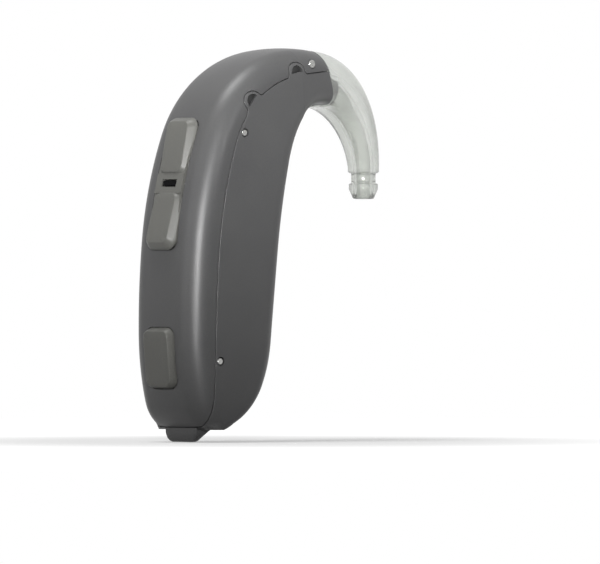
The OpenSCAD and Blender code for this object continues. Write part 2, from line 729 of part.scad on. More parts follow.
// Buttons
// A pad: a wedge on the back with a flat face and soft edges
pad_foot = recess_depth / 4;
module pad(s0, s1, face_width, h0, h1) {
  steps = 6;
  a = on_back(s0, h0);
  b = on_back(s1, h1);
  u = (b - a) / norm(b - a);
  n = [-u[1], u[0]];
  lean = (button_width - face_width) / 2;
  edge = [[lean, 0], [lean / 3, bevel_height / 3], [0, bevel_height]];
  intersection() {
    across(button_width) polygon(concat(
      [for (k = [0 : steps]) on_back(s0 + (s1 - s0) * k / steps, -pad_foot)],
      [for (k = [2 : -1 : 0]) b - u * edge[k][0] - n * edge[k][1]],
      [for (k = [0 : 2]) a + u * edge[k][0] - n * edge[k][1]]));
    translate([a[0], 0, a[1]]) rotate([0, -atan2(u[1], u[0]), 0]) rotate([90, 0, 90])
      translate([0, 0, -over]) linear_extrude(height = norm(b - a) + 2 * over)
        polygon(concat([[-button_width / 2, -over], [button_width / 2, -over]],
          [for (k = [2 : -1 : 0]) [button_width / 2 - edge[k][0], -edge[k][1]]],
          [for (k = [0 : 2]) [edge[k][0] - button_width / 2, -edge[k][1]]]));
    stand_on_back((s0 + s1) / 2) round_block(s1 - s0 + 2 * pad_foot, button_width, button_corner, 4 * over);
  }
}
module volume_rocker() {
  thick = recess_depth / 2;
  color("gray") difference() {
    union() {
      intersection() {
        back_band(rocker_bottom - over, rocker_top + over, -thick, 0, case_width);
        stand_on_back(rocker_place)
          round_block(rocker_length - 2 * seat, button_width - 2 * seat, button_corner, 4 * over);
      }
      intersection() {
        back_band(rocker_bottom, rocker_top, -bridge_depth, bridge_height, case_width);
        stand_on_back(rocker_place) cube([bridge_length, button_width - 4 * seat, 2 * over], center = true);
      }
      pad(rocker_place + bridge_length / 2, rocker_top, rocker_face_width, pad_low, pad_high);
      pad(rocker_bottom, rocker_place - bridge_length / 2, rocker_face_width, pad_high, pad_low);
      for (s = [rocker_place - plunger_place, rocker_place + plunger_place])
        stand_on_back(s) translate([0, 0, switch_travel - board_depth + switch_height])
          cylinder(r = plunger_r, h = board_depth - switch_height - switch_travel, $fn = 32);
    }
    stand_on_back(rocker_place)
      cube([window_height + 2 * button_gap, window_width + 2 * button_gap, 4 * over], center = true);
    bar(on_back(rocker_place, -axle_depth), axle_r + axle_clearance, case_width);
  }
}
// Two stub axles, which leave the light window free
module rocker_axle() {
  near = window_width / 2 + button_gap + seat;
  color("silver") both_sides()
    bar(on_back(rocker_place, -axle_depth), axle_r, axle_reach - near, (axle_reach + near) / 2);
}
module light_guide() {
  color("black") stand_on_back(rocker_place)
    translate([-window_height / 2, -window_width / 2, seat - board_depth + switch_height])
      cube([window_height, window_width, board_depth - switch_height - 2 * seat]);
}
module indicator_led() {
  color("white") stand_on_back(rocker_place)
    translate([-window_height / 2, -window_width / 2, -board_depth])
      cube([window_height, window_width, switch_height]);
}
module program_button() {
  thick = recess_depth / 2;
  color("gray") difference() {
    union() {
      intersection() {
        back_band(program_bottom - over, program_top + over, -thick, 0, case_width);
        stand_on_back(program_place)
          round_block(program_length - 2 * seat, button_width - 2 * seat, button_corner, 4 * over);
      }
      pad(program_bottom, program_top, program_face_width, program_height, program_height);
      stand_on_back(program_plunger_place) translate([0, 0, switch_travel - board_depth + switch_height])
        cylinder(r = plunger_r, h = board_depth - switch_height - switch_travel, $fn = 32);
      bar(on_back(program_axle_place, -axle_depth), axle_r + knuckle_wall, button_width - 2 * seat);
    }
    bar(on_back(program_axle_place, -axle_depth), axle_r + axle_clearance, case_width);
  }
}
module program_axle() {
  color("silver") bar(on_back(program_axle_place, -axle_depth), axle_r, 2 * axle_reach);
}

// Battery door: panel, knuckle, cell carrier and nail grip
cell_station_share = 2.5;
function cell_middle() = [back(cell_station_share)[0] + cell_back_gap + cell_d / 2, cell_z];
door_edge = 1.26;
function rim(u, inset) = u < 0 ? off_back(-u, -inset) : off_front(u, -inset);
module door_outline() {
  steps = 30;
  reach = door_edge + door_axle_station_share;
  polygon(concat(
    [for (k = [0 : steps]) rim(-door_edge + reach * k / steps, -over)],
    [for (k = [steps : -1 : 0]) rim(-door_edge + reach * k / steps, door_wall)]));
}
carrier_r = cell_d / 2 + cell_clearance + carrier_wall;
module battery_door() {
  p = door_axle_point();
  c = cell_middle();
  color("dimgray") difference() {
    union() {
      intersection() {
        case_solid();
        across(door_width) door_outline();
      }
      bar(p, knuckle_r, door_width);
      difference() {
        bar(c, carrier_r, carrier_width);
        across(case_width) polygon([c, c + [carrier_r, 2 * carrier_r], c + [-2 * carrier_r, 2 * carrier_r],
          c + [-2 * carrier_r, -2 * carrier_r]]);
      }
      nail_grip();
    }
    bar(c, cell_d / 2 + cell_clearance, case_width);
    bar(p, door_axle_r + door_axle_clearance, case_width);
  }
}
grip_back = 1.2;
module nail_grip() {
  top = foot_height + door_wall / 2;
  x = foot_x - grip_back;
  soft = grip_lip / 3;
  intersection() {
    across(grip_width) polygon([[x, top], [x, soft], [x + soft, 0], [x + grip_lip, 0],
      [x + grip_depth, foot_height], [x + grip_depth, top]]);
    translate([x - over, 0, grip_width / 2]) rotate([90, 0, 90])
      linear_extrude(height = grip_depth + 2 * over) round_outline(grip_width, grip_width, grip_round);
  }
}
module door_axle() {
  width = door_width + 2 * (door_gap + door_axle_grip - seat);
  color("silver") bar(door_axle_point(), door_axle_r, width);
}
cell_edge = 0.5;
cap_r_share = 0.78;
cap_height = 0.35;
module battery_cell() {
  c = cell_middle();
  r = cell_d / 2;
  color("gainsboro") translate([c[0], -cell_thickness / 2, c[1]]) rotate([-90, 0, 0]) {
    rotate_extrude($fn = 96) polygon([[0, 0], [r - cell_edge, 0], [r - cell_edge / 4, cell_edge / 4],
      [r, cell_edge], [r, cell_thickness - cap_height - cell_edge],
      [r - cell_edge, cell_thickness - cap_height], [0, cell_thickness - cap_height]]);
    cylinder(r = r * cap_r_share, h = cell_thickness, $fn = 64);
  }
}
module contact(side) {
  c = cell_middle();
  y = side * (cell_thickness / 2 + seat + contact_thickness / 2);
  color("gold") translate([c[0] - contact_width / 2, y - contact_thickness / 2, c[1]])
    cube([contact_width, contact_thickness, contact_length]);
}
module positive_contact() {
  contact(-1);
}
module negative_contact() {
  contact(1);
}

// Microphones in their soft boots
boot_length = microphone_length + 2 * boot_wall;
boot_depth = microphone_depth + 2 * boot_wall;
duct_r = 0.4;
boot_width = microphone_width + 4 * boot_wall;
function boot_middle(t) = deep(t, back_wall + seat + boot_depth / 2);
module at_boot(t) {
  p = boot_middle(t);
  translate([p[0], 0, p[1]]) rotate([0, 90 - back_angle(t), 0]) children();
}
module microphone(t) {
  color("silver") at_boot(t)
    cube([microphone_length - seat, microphone_width - seat, microphone_depth - seat], center = true);
}
module front_microphone() {
  microphone(port_station_shares[1]);
}
module rear_microphone() {
  microphone(port_station_shares[0]);
}
module microphone_boots() {
  color("black") for (t = port_station_shares) difference() {
    intersection() {
      case_cavity(seat);
      union() {
        at_boot(t) cube([boot_length, boot_width, boot_depth], center = true);
        bar(boot_middle(t), boot_depth / 2 - seat, 2 * (wall_inside(t) - seat));
      }
    }
    at_boot(t) cube([microphone_length, microphone_width, microphone_depth], center = true);
    bar(boot_middle(t), duct_r, case_width);
  }
}
module microphone_screens() {
  color("black") for (t = port_station_shares) both_sides() intersection() {
    port_shape(t, port_r - seat / 2, case_width + over);
    translate([0, half_width(t) - side_wall / 2, 0]) rotate([90, 0, 0])
      translate([port_middle(t)[0], port_middle(t)[1], -screen_thickness / 2])
        cylinder(r = port_r + port_rim, h = screen_thickness, $fn = 32);
  }
}

// Receiver, its boot, the frame and the electronics
receiver_tilt = 4;
receiver_station_share = 3.6;
receiver_middle = [back(receiver_station_share)[0] + receiver_x, receiver_z];
module at_receiver() {
  translate([receiver_middle[0], 0, receiver_middle[1]]) rotate([0, receiver_tilt, 0]) children();
}
module receiver() {
  color("silver") at_receiver()
    cube([receiver_depth - seat, receiver_width - seat, receiver_length - seat], center = true);
}
module receiver_boot() {
  wall = 2 * receiver_boot_wall;
  color("darkslategray") at_receiver() difference() {
    cube([receiver_depth + wall, receiver_width + wall, receiver_length + wall], center = true);
    cube([receiver_depth, receiver_width, receiver_length], center = true);
    cylinder(r = tube_bore_r, h = receiver_length, $fn = 24);
  }
}
frame_depth = board_depth + board_thickness + seat;
frame_foot = 1;
frame_gap = 0.2;
frame_station_shares = [3.2, 4.05];
foot_station_shares = [3.12, 3.4];
rail_place = 24;
module inner_frame() {
  steps = 10;
  s0 = board_start + frame_foot;
  s1 = board_end - seat;
  room = 2 * receiver_boot_wall + 2 * seat;
  color("darkgray") difference() {
    union() {
      across(frame_width) polygon(concat(
        [for (k = [0 : steps]) on_back(s0 + (s1 - s0) * k / steps, -frame_depth)],
        [for (k = [steps : -1 : 0])
          on_back(rail_place + (s1 - rail_place) * k / steps, -frame_depth - rail_depth)],
        [for (k = [steps : -1 : 0])
          let (t = frame_station_shares[0] * (1 - k / steps) + frame_station_shares[1] * k / steps)
          off_front(t, -front_wall - frame_gap)]));
      across(cell_thickness) polygon([on_back(s0, -frame_depth), on_back(s0 + frame_foot, -frame_depth),
        off_front(foot_station_shares[1], -2 * front_wall),
        off_front(foot_station_shares[0], -2 * front_wall)]);
    }
    at_receiver() cube([receiver_depth + room, frame_width + over, receiver_length + room], center = true);
    contact(-1);
    contact(1);
    stand_on_back(chip_place) translate([0, 0, -frame_depth])
      cube([chip_length + 4 * seat, chip_width + 4 * seat, 2 * (chip_thickness + 2 * seat)], center = true);
  }
}
module circuit_board() {
  color("darkgreen")
    back_band(board_start, board_end, -board_depth, -board_depth - board_thickness, board_width);
}
module amplifier_chip() {
  color("black") stand_on_back(chip_place)
    translate([-chip_length / 2, -chip_width / 2, -board_depth - board_thickness - chip_thickness - seat])
      cube([chip_length, chip_width, chip_thickness]);
}
telecoil_station_share = 4.62;
module telecoil() {
  t = telecoil_station_share;
  p = off_front(t, -front_wall - telecoil_r - 2 * seat);
  color("peru") translate([p[0], 0, p[1]]) rotate([0, 90 - front(t)[2], 0])
    cylinder(r = telecoil_r, h = telecoil_length, center = true, $fn = 32);
}
module switch_at(s) {
  stand_on_back(s) translate([-switch_side / 2, -switch_side / 2, -board_depth])
    cube([switch_side, switch_side, switch_height]);
}
module volume_switches() {
  color("silver") {
    switch_at(rocker_place - plunger_place);
    switch_at(rocker_place + plunger_place);
  }
}
module program_switch() {
  color("silver") stand_on_back(board_start) translate([0, -switch_side / 2, -board_depth])
    cube([switch_side / 2, switch_side, switch_height]);
}

spine_cover();
base_shell();
ear_hook();
hook_pin();
nozzle();
upper_case_pins();
lower_case_pins();
volume_rocker();
rocker_axle();
light_guide();
indicator_led();
program_button();
program_axle();
battery_door();
door_axle();
battery_cell();
positive_contact();
negative_contact();
front_microphone();
rear_microphone();
microphone_boots();
microphone_screens();
receiver();
receiver_boot();
sound_tube();
inner_frame();
circuit_board();
amplifier_chip();
telecoil();
volume_switches();
program_switch();
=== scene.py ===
"""Behind-the-ear hearing aid: the dressed model, its finishes, a pale studio and the camera."""
import json
import math

import bmesh
import bpy
import numpy as np
from mathutils import Matrix, Vector


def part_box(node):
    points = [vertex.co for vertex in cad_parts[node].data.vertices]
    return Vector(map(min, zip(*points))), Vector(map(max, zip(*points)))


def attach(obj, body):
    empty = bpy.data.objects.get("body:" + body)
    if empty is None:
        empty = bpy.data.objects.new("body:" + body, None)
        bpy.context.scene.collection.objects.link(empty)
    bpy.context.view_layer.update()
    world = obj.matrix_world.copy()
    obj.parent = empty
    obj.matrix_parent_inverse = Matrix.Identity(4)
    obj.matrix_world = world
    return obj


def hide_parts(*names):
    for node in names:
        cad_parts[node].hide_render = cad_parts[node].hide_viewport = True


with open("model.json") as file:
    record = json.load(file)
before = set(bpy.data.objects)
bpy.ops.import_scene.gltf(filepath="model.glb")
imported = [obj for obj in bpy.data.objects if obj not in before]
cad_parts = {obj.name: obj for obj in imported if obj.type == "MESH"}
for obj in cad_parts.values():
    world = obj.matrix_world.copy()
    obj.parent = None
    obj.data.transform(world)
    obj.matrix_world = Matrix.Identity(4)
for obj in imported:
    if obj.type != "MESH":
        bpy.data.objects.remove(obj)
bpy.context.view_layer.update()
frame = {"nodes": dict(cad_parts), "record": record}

MM = 0.001

# Driving dimensions, in millimetres and degrees, mostly the CAD's own. An arc is its length and its turn.
# A station counts the arcs along a line of the case: 2.5 is the middle of the third arc.
CASE_WIDTH = 10.3
FOOT_HEIGHT = 1.1
FOOT_X = -10.0543
BACK_ARCS = [(0.6, -16), (3.95, -60.5), (7.3, -12.9), (9.55, -6.2), (11.3, -15.1), (15.7, -65.7),
             (3.9, -11.7)]
FRONT_ARCS = [(0.4, 10), (7.8, 56.3), (4.7, 18.1), (9.4, -0.4), (9, -7.6), (4.5, -17.3), (5.6, -72.2)]
HOOK_ARCS = [(2, -12), (3.3, -24), (2.8, -18), (5.4, -28)]
HOOK_HEADING = -8

# Section of the case
BACK_ROUND = 2.2
FRONT_ROUND = 1.9
BACK_CROWN = 0.5
ROUND_SHARE, LEAST_ROUND_SHARE, CROWN_SHARE = 0.42, 0.2, 0.12
FOOT_NARROWING, FOOT_STATION = 1.25, 2.5
END_NARROWING, TOP_STATION = 1.35, 4
BACK_WALL, SIDE_WALL, FRONT_WALL = 1.1, 0.8, 0.8
CAVITY_STATION = 1.4

# How far the cutting shapes reach: across the case, above its skin and below it
ACROSS = 8
ABOVE = 2
BELOW = -3

# Seam
SEAM_INSET = 3.4
SEAM_LOW, SEAM_HIGH, SEAM_RISE_SHARE = 3.8, 4.2, 0.32
SEAM_FOOT = 1.2
FIRST_STATION = 1.08
SEAM_GAP = 0.075
SEAM_LIP = 0.09
SEAM_LEDGE = 0.4

# Microphone ports, and how far the tabs over them fade ahead and behind
PORT_STATIONS = [5.38, 5.94]
TAB_FADES = [(0.35, 0.9), (0.5, 0.35)]
PORT_R = 0.75
PORT_RIM = 0.32
PORT_LIFT = 0.34
TABS_START, TABS_END = 5.1, 6.2

# Pins
PIN_R, PIN_FREE, PIN_INSET = 0.43, 0.03, 0.7
HEAD_R, HEAD_DEPTH, HEAD_LENGTH, PIN_CHAMFER = 0.36, 0.09, 1.3, 0.06
UPPER_PIN, LOWER_PIN, HOOK_PIN = 5.1, 2.6, 6.44
TONGUE_DEPTH, TONGUE_HEIGHT, TONGUE_WIDTH = 0.05, 1.1, 2.4

# Buttons
BUTTON_WIDTH = 4.4
BUTTON_GAP = 0.12
BUTTON_CORNER = 1.1
RECESS_DEPTH = 0.62
ROCKER_PLACE, ROCKER_LENGTH, BRIDGE_LENGTH = 27.3, 13.6, 1.9
PROGRAM_PLACE, PROGRAM_LENGTH = 9.3, 6.2
PAD_HIGH, PAD_LOW, PROGRAM_HEIGHT = 1.05, 0.26, 0.7
PAD_START, PAD_ROLL, PAD_FOOT = 0.6, 0.12, -0.16
ROCKER_FACE, PROGRAM_FACE = 3.4, 3.85
PLUNGER_REACH, PLUNGER_INSET, PLUNGER_R = 4.4, 0.62, 0.5
WEB_LOW, WEB_HIGH, WEB_EDGE = -0.31, -0.04, 0.05
BRIDGE_LOW, BRIDGE_HIGH, BRIDGE_EDGE, BRIDGE_ROOM = -0.76, 0.1, 0.1, 0.9
AXLE_DEPTH, AXLE_BORE_R, AXLE_SLEEVE_R, AXLE_GROOVE_R = 0.42, 0.25, 0.35, 0.47
AXLE_FREE = 0.06
RUNNER = 0.3
SLOT_LENGTH, SLOT_WIDTH = 1.0, 2.6
WINDOW_WIDTH, WINDOW_HEIGHT = 2.1, 0.55

# Battery door and cell
DOOR_WIDTH, DOOR_GAP, DOOR_WALL = 6.7, 0.1, 0.72
DOOR_STATION, DOOR_INSET, KNUCKLE_R, DOOR_AXLE_R = 3, 0.98, 0.94, 0.4
LUG_FREE, DOOR_EDGE = 0.02, 0.04
CELL_D, CELL_THICKNESS, CELL_Z, CELL_BACK_GAP = 7.9, 5.4, 7.15, 1.38
CAP_SHARE = 0.78
AIR_HOLE_REACH, AIR_HOLE_R, AIR_HOLE_DEPTH = 1.7, 0.25, 0.12
CARRIER_FREE, CARRIER_WALL, CARRIER_WIDTH = 0.05, 0.42, 5.2
CARRIER_ARC = (-135, 63)
GRIP_BACK, GRIP_WIDTH, GRIP_LENGTH, GRIP_ROOT = 1.2, 5.0, 1.9, 0.36
GRIP_ENDS = [(0, 0.9), (0.07, 0.62), (0.26, 0.28), (0.55, 0.08), (0.9, 0)]

# Ear hook
HOOK_END_R = 1.62
HOOK_TAPER = 1.4
HOOK_LEVELLING = 0.3
HOOK_GAP = 0.06
BORE_R = 0.72
BORE_SHARES, BORE_TURNS = (0.38, 0.425), (30, 38)
SOCKET_R, SOCKET_DEPTH, SOCKET_PLACE = 1.2, 1.95, 3.75
NECK_R, NECK_LENGTH = 1.28, 1.25
BARB_R, BARB_LAND, BARB_CONE, TIP_R = 1.52, 0.6, 1, 1.05


# The two lines of the case


def walk(p, length, turn):
    """The place and heading at the end of an arc from p = (x, z, heading)."""
    h = p[2] + turn
    a, b = math.radians(p[2]), math.radians(h)
    if abs(turn) < 1e-9:
        return (p[0] + length * math.cos(a), p[1] + length * math.sin(a), h)
    r = length / math.radians(turn)
    return (p[0] + r * (math.sin(b) - math.sin(a)), p[1] + r * (math.cos(a) - math.cos(b)), h)


def joints(p, arcs):
    line = [p]
    for length, turn in arcs:
        line.append(walk(line[-1], length, turn))
    return line


def on_chain(line, arcs, t):
    k = min(int(math.floor(t)), len(arcs) - 1)
    return walk(line[k], (t - k) * arcs[k][0], (t - k) * arcs[k][1])


def station(s, arcs):
    """The station at a length along a chain."""
    for k, (length, _) in enumerate(arcs):
        if s <= length or k == len(arcs) - 1:
            return k + s / length
        s -= length


BACK_LINE = joints((FOOT_X, FOOT_HEIGHT, 180), BACK_ARCS)
FRONT_LINE = joints((FOOT_X, FOOT_HEIGHT, 0), FRONT_ARCS)
LAST = len(BACK_ARCS)


def back(t):
    return on_chain(BACK_LINE, BACK_ARCS, t)


def front(t):
    return on_chain(FRONT_LINE, FRONT_ARCS, t)


def off(p, h):
    """A point h to the left of a line's heading at p."""
    a = math.radians(p[2])
    return (p[0] - h * math.sin(a), p[1] + h * math.cos(a))


def on_back(s, h):
    return off(back(station(s, BACK_ARCS)), h)


def off_front(t, h):
    return off(front(t), -h)


def full_depth(t):
    a, b = back(t), front(t)
    return math.hypot(b[0] - a[0], b[1] - a[1])


def deep(t, depth):
    """A point in the section plane of a station, at a depth from the back line."""
    a, b = back(t), front(t)
    share = depth / full_depth(t)
    return (a[0] + (b[0] - a[0]) * share, a[1] + (b[1] - a[1]) * share)


def half_width(t):
    low = max(0, FOOT_STATION - t) / FOOT_STATION
    high = max(0, t - TOP_STATION) / (LAST - TOP_STATION)
    return CASE_WIDTH / 2 - FOOT_NARROWING * low ** 2 - END_NARROWING * high ** 2.5


def seam_depth(t):
    """Depth of the seam behind the back line: none at the foot, less again towards the hook."""
    low = max(0, SEAM_LOW - t) / (SEAM_LOW - SEAM_FOOT)
    high = max(0, t - SEAM_HIGH) / (LAST - SEAM_HIGH)
    return max(0, SEAM_INSET * (1 - low ** 3 - SEAM_RISE_SHARE * high ** 1.5))


def half_outline(t, back_in=0, side_in=0, front_in=0, fine=14):
    """Half a section from the middle of the back to the middle of the front, as (depth, y)."""
    d, w = full_depth(t), half_width(t) - side_in
    rb0, rf0 = min(BACK_ROUND, ROUND_SHARE * d), min(FRONT_ROUND, ROUND_SHARE * d)
    rb, rf = max(rb0 - side_in, LEAST_ROUND_SHARE * rb0), max(rf0 - side_in, LEAST_ROUND_SHARE * rf0)
    crown = min(BACK_CROWN, CROWN_SHARE * d)
    a = np.linspace(0, math.pi / 2, fine)
    flat = np.linspace(0, 1, fine)[:-1]
    x = np.concatenate([np.full(fine - 1, back_in), back_in + rb * (1 - np.cos(a)),
                        (back_in + rb) + (d - front_in - rf - back_in - rb) * flat[1:],
                        d - front_in - rf * (1 - np.cos(a[::-1])), np.full(fine - 1, d - front_in)])
    y = np.concatenate([(w - rb) * flat, w - rb + rb * np.sin(a), np.full(fine - 2, w),
                        w - rf + rf * np.sin(a[::-1]), (w - rf) * (1 - flat)])
    y[-1] = 0
    x = x + crown * (y / (w + side_in)) ** 2 * (1 - x / d) ** 2
    return np.column_stack([x, y])


def place_ring(t, half):
    """A closed ring in space from a half section in (depth, y): the +Y side out, the -Y side back."""
    a, b = back(t), front(t)
    d = full_depth(t)
    u = ((b[0] - a[0]) / d, (b[1] - a[1]) / d)
    there = [(a[0] + x * u[0], y, a[1] + x * u[1]) for x, y in half]
    return there + [(x, -y, z) for x, y, z in reversed(there)]


def along(points):
    return np.concatenate([[0], np.cumsum(np.hypot(*np.diff(points, axis=0).T))])


def at_lengths(points, lengths, wanted):
    return np.column_stack([np.interp(wanted, lengths, points[:, k]) for k in (0, 1)])


# Meshes


def new_object(name, data):
    obj = bpy.data.objects.new(name, data)
    bpy.context.scene.collection.objects.link(obj)
    return obj


def new_mesh(name, verts, faces, body, slot=None, sharp=32, merge=1e-7):
    """A smooth closed piece from points in millimetres, with edges sharper than an angle kept crisp."""
    bm = bmesh.new()
    made = [bm.verts.new(Vector(v) * MM) for v in verts]
    for f in faces:
        if len(set(f)) > 2:
            bm.faces.new([made[k] for k in f])
    bmesh.ops.remove_doubles(bm, verts=bm.verts, dist=merge)
    bmesh.ops.dissolve_degenerate(bm, edges=bm.edges, dist=merge / 10)
    bmesh.ops.recalc_face_normals(bm, faces=bm.faces)
    mesh = bpy.data.meshes.new(name)
    bm.to_mesh(mesh)
    bm.free()
    obj = new_object(name, mesh)
    finish_edges(obj, sharp)
    if body:
        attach(obj, body)
    return obj


def finish_edges(obj, sharp=32):
    for face in obj.data.polygons:
        face.use_smooth = True
    obj.data.set_sharp_from_angle(angle=math.radians(sharp))


def loft_faces(rows, count, caps=True):
    """Quads between closed rings of points, and a flat cap at both ends."""
    faces = []
    for start in range(0, (rows - 1) * count, count):
        for i in range(count):
            a, b = start + i, start + (i + 1) % count
            faces.append((a, b, b + count, a + count))
    if caps:
        faces.append(tuple(range(count - 1, -1, -1)))
        faces.append(tuple(range((rows - 1) * count, rows * count)))
    return faces


def loft(rings):
    verts = [p for r in rings for p in r]
    return verts, loft_faces(len(rings), len(rings[0]))


def joined(*shapes):
    """Several (points, faces) as one."""
    verts, faces = [], []
    for v, f in shapes:
        faces += [tuple(k + len(verts) for k in q) for q in f]
        verts += list(v)
    return verts, faces


def circle(r, steps):
    turns = [2 * math.pi * k / steps for k in range(steps)]
    return [(r * math.cos(a), r * math.sin(a)) for a in turns]


def cylinder_across(p, r, y0, y1, steps=48, chamfer=0.0):
    """A round bar across the case, its ends chamfered."""
    rings = []
    for y, q in ((y0, r - chamfer), (y0 + chamfer, r), (y1 - chamfer, r), (y1, r - chamfer)):
        rings.append([(p[0] + u, y, p[1] + v) for u, v in circle(q, steps)])
    if chamfer == 0:
        rings = [rings[0], rings[3]]
    return loft(rings)


def prism_across(outline, y0, y1):
    return loft([[(x, y, z) for x, z in outline] for y in (y0, y1)])


def turned(profile, steps=64):
    """A closed solid of revolution about Z from (r, z) pairs, as rings."""
    return loft([[(x, y, z) for x, y in circle(r, steps)] for r, z in profile])


def moved(shape, matrix):
    verts, faces = shape
    return [tuple(matrix @ Vector(v)) for v in verts], faces


def cut(obj, shapes, operation="DIFFERENCE", sharp=32):
    """Exact boolean of a piece with closed shapes, applied to its mesh."""
    for n, shape in enumerate(shapes):
        tool = new_mesh("tool_%s_%d" % (obj.name, n), shape[0], shape[1], None)
        step = obj.modifiers.new("cut", "BOOLEAN")
        step.operation = operation
        step.solver = "EXACT"
        step.object = tool
        bpy.context.view_layer.update()
        done = bpy.data.meshes.new_from_object(obj.evaluated_get(bpy.context.evaluated_depsgraph_get()))
        obj.modifiers.clear()
        old = obj.data
        obj.data = done
        done.name = obj.name
        bpy.data.meshes.remove(old)
        bpy.data.objects.remove(tool)
    finish_edges(obj, sharp)


# The case: one skin, parted along the seam


def skin_rows():
    """Stations, close together at the foot of the seam and at the microphone tabs."""
    rows = list(np.linspace(FIRST_STATION, SEAM_FOOT, 12))
    rows += [SEAM_FOOT + 0.3 * (k / 14) ** 2 for k in range(1, 15)]
    rows += list(np.linspace(rows[-1], TABS_START, 108)[1:])
    rows += list(np.linspace(TABS_START, TABS_END, 190)[1:])
    rows += list(np.linspace(TABS_END, LAST, 30)[1:])
    return rows


def tab_height(s, ahead, behind):
    """Height of a microphone tab above the seam at a distance s along it."""
    r = PORT_R + PORT_RIM
    if abs(s) < r:
        return PORT_LIFT + math.sqrt(r * r - s * s)
    far = (abs(s) - r) / (ahead if s > 0 else behind)
    return PORT_LIFT * max(0, 1 - far) ** 2 if far < 1 else 0


def seam_edges(rows):
    """Depth of the spine cover's edge and of the base shell's edge at each row, with the tabs in them."""
    fine = np.linspace(SEAM_FOOT, LAST, 6000)
    points = np.array([deep(t, seam_depth(t)) for t in fine])
    s = along(points)
    depth = np.array([seam_depth(t) for t in fine])
    for t, (ahead, behind) in zip(PORT_STATIONS, TAB_FADES):
        middle = np.interp(t, fine, s)
        depth = depth - np.array([tab_height(q - middle, ahead, behind) for q in s])
    slope = np.gradient(depth, s)
    size = np.hypot(1, slope)
    edges = []
    for gap in (-SEAM_GAP / 2, SEAM_GAP / 2):
        s_off = s - gap * slope / size
        d_off = depth + gap / size
        order = np.argsort(s_off, kind="stable")
        grid = np.linspace(0, s[-1], 6000)
        value = np.interp(grid, s_off[order], d_off[order])
        edges.append([float(np.interp(np.interp(t, fine, s), grid, value)) if t > SEAM_FOOT else 0.0
                      for t in rows])
    return edges


def lip(points, lengths, edge, direction):
    """Length along the outline where a rounded lip starts, and the lip's points up to the seam face."""
    where = float(np.interp(edge, points[:, 0], lengths))
    corner = at_lengths(points, lengths, [where])[0]
    room = lengths[-1] - where if direction > 0 else where
    size = max(0.0, min(SEAM_LIP, 0.3 * corner[1], 0.3 * room))
    start = at_lengths(points, lengths, [where + direction * size])[0]
    end = np.array([corner[0], corner[1] - size])
    bend = [(1 - f) ** 2 * start + 2 * f * (1 - f) * corner + f * f * end for f in (0.25, 0.5, 0.75, 1)]
    return where + direction * size, np.array(bend)


def spine_ring(t, edge):
    points = half_outline(t)
    lengths = along(points)
    start, bend = lip(points, lengths, edge, -1)
    safe = min(0.45 * seam_depth(t), 0.8 * edge)
    part = float(np.interp(safe, points[:, 0], lengths))
    wanted = np.concatenate([np.linspace(0, part, 18), np.linspace(part, start, 7)[1:]])
    ledge = min(SEAM_LEDGE, 0.4 * bend[-1][1])
    step = [(edge, bend[-1][1] - ledge), (edge + 0.96 * SEAM_GAP, bend[-1][1] - ledge - 0.01)]
    return place_ring(t, np.vstack([at_lengths(points, lengths, wanted), bend, step]))


def base_ring(t, edge):
    points = half_outline(t)
    lengths = along(points)
    start, bend = lip(points, lengths, edge, 1)
    far = seam_depth(t) + 0.25 * (full_depth(t) - seam_depth(t))
    part = max(float(np.interp(far, points[:, 0], lengths)), start + 0.1)
    wanted = np.concatenate([np.linspace(start, part, 7)[:-1], np.linspace(part, lengths[-1], 30)])
    return place_ring(t, np.vstack([bend[::-1], at_lengths(points, lengths, wanted)]))


def whole_skin():
    rings = []
    for t in np.linspace(FIRST_STATION, LAST, 151):
        points = half_outline(t)
        lengths = along(points)
        rings.append(place_ring(t, at_lengths(points, lengths, np.linspace(0, lengths[-1], 50))))
    return loft(rings)


END_HEADING = math.degrees(math.atan2(front(LAST)[1] - back(LAST)[1], front(LAST)[0] - back(LAST)[0])) + 90
END_STEP = (math.cos(math.radians(END_HEADING)), math.sin(math.radians(END_HEADING)))


def cavity():
    """The room inside the case, open at the hook end."""
    rings = []
    for t in np.linspace(CAVITY_STATION, LAST, 61):
        points = half_outline(t, BACK_WALL, SIDE_WALL, FRONT_WALL)
        lengths = along(points)
        rings.append(place_ring(t, at_lengths(points, lengths, np.linspace(0, lengths[-1], 26))))
    rings.append([(x + END_STEP[0], y, z + END_STEP[1]) for x, y, z in rings[-1]])
    return loft(rings)


def band(s0, s1, low, high, half_at, steps=40):
    """A solid that follows the back from s0 to s1 between two heights, half_at(s) wide to each side."""
    rings = []
    for k in range(steps + 1):
        f = 0.5 - 0.5 * math.cos(math.pi * k / steps)
        s = s0 + (s1 - s0) * f
        w = half_at(s)
        a, b = on_back(s, low), on_back(s, high)
        rings.append([(a[0], -w, a[1]), (a[0], w, a[1]), (b[0], w, b[1]), (b[0], -w, b[1])])
    return loft(rings)


def rounded_half(place, length, width, corner):
    """Half width of a rounded rectangle at a place along it."""
    def half(s):
        near = length / 2 - abs(s - place)
        if near >= corner:
            return width / 2
        near = max(near, 0.0)
        return width / 2 - corner + math.sqrt(max(corner ** 2 - (corner - near) ** 2, 1e-6))
    return half


def recess(place, length):
    size = length + 2 * BUTTON_GAP
    half = rounded_half(place, size, BUTTON_WIDTH + 2 * BUTTON_GAP, BUTTON_CORNER)
    return band(place - size / 2, place + size / 2, -RECESS_DEPTH, ABOVE, half)


def pin_place(t):
    return deep(t, seam_depth(t) + PIN_INSET)


def pin_bore(place):
    return cylinder_across(place, PIN_R + PIN_FREE, -ACROSS, ACROSS)


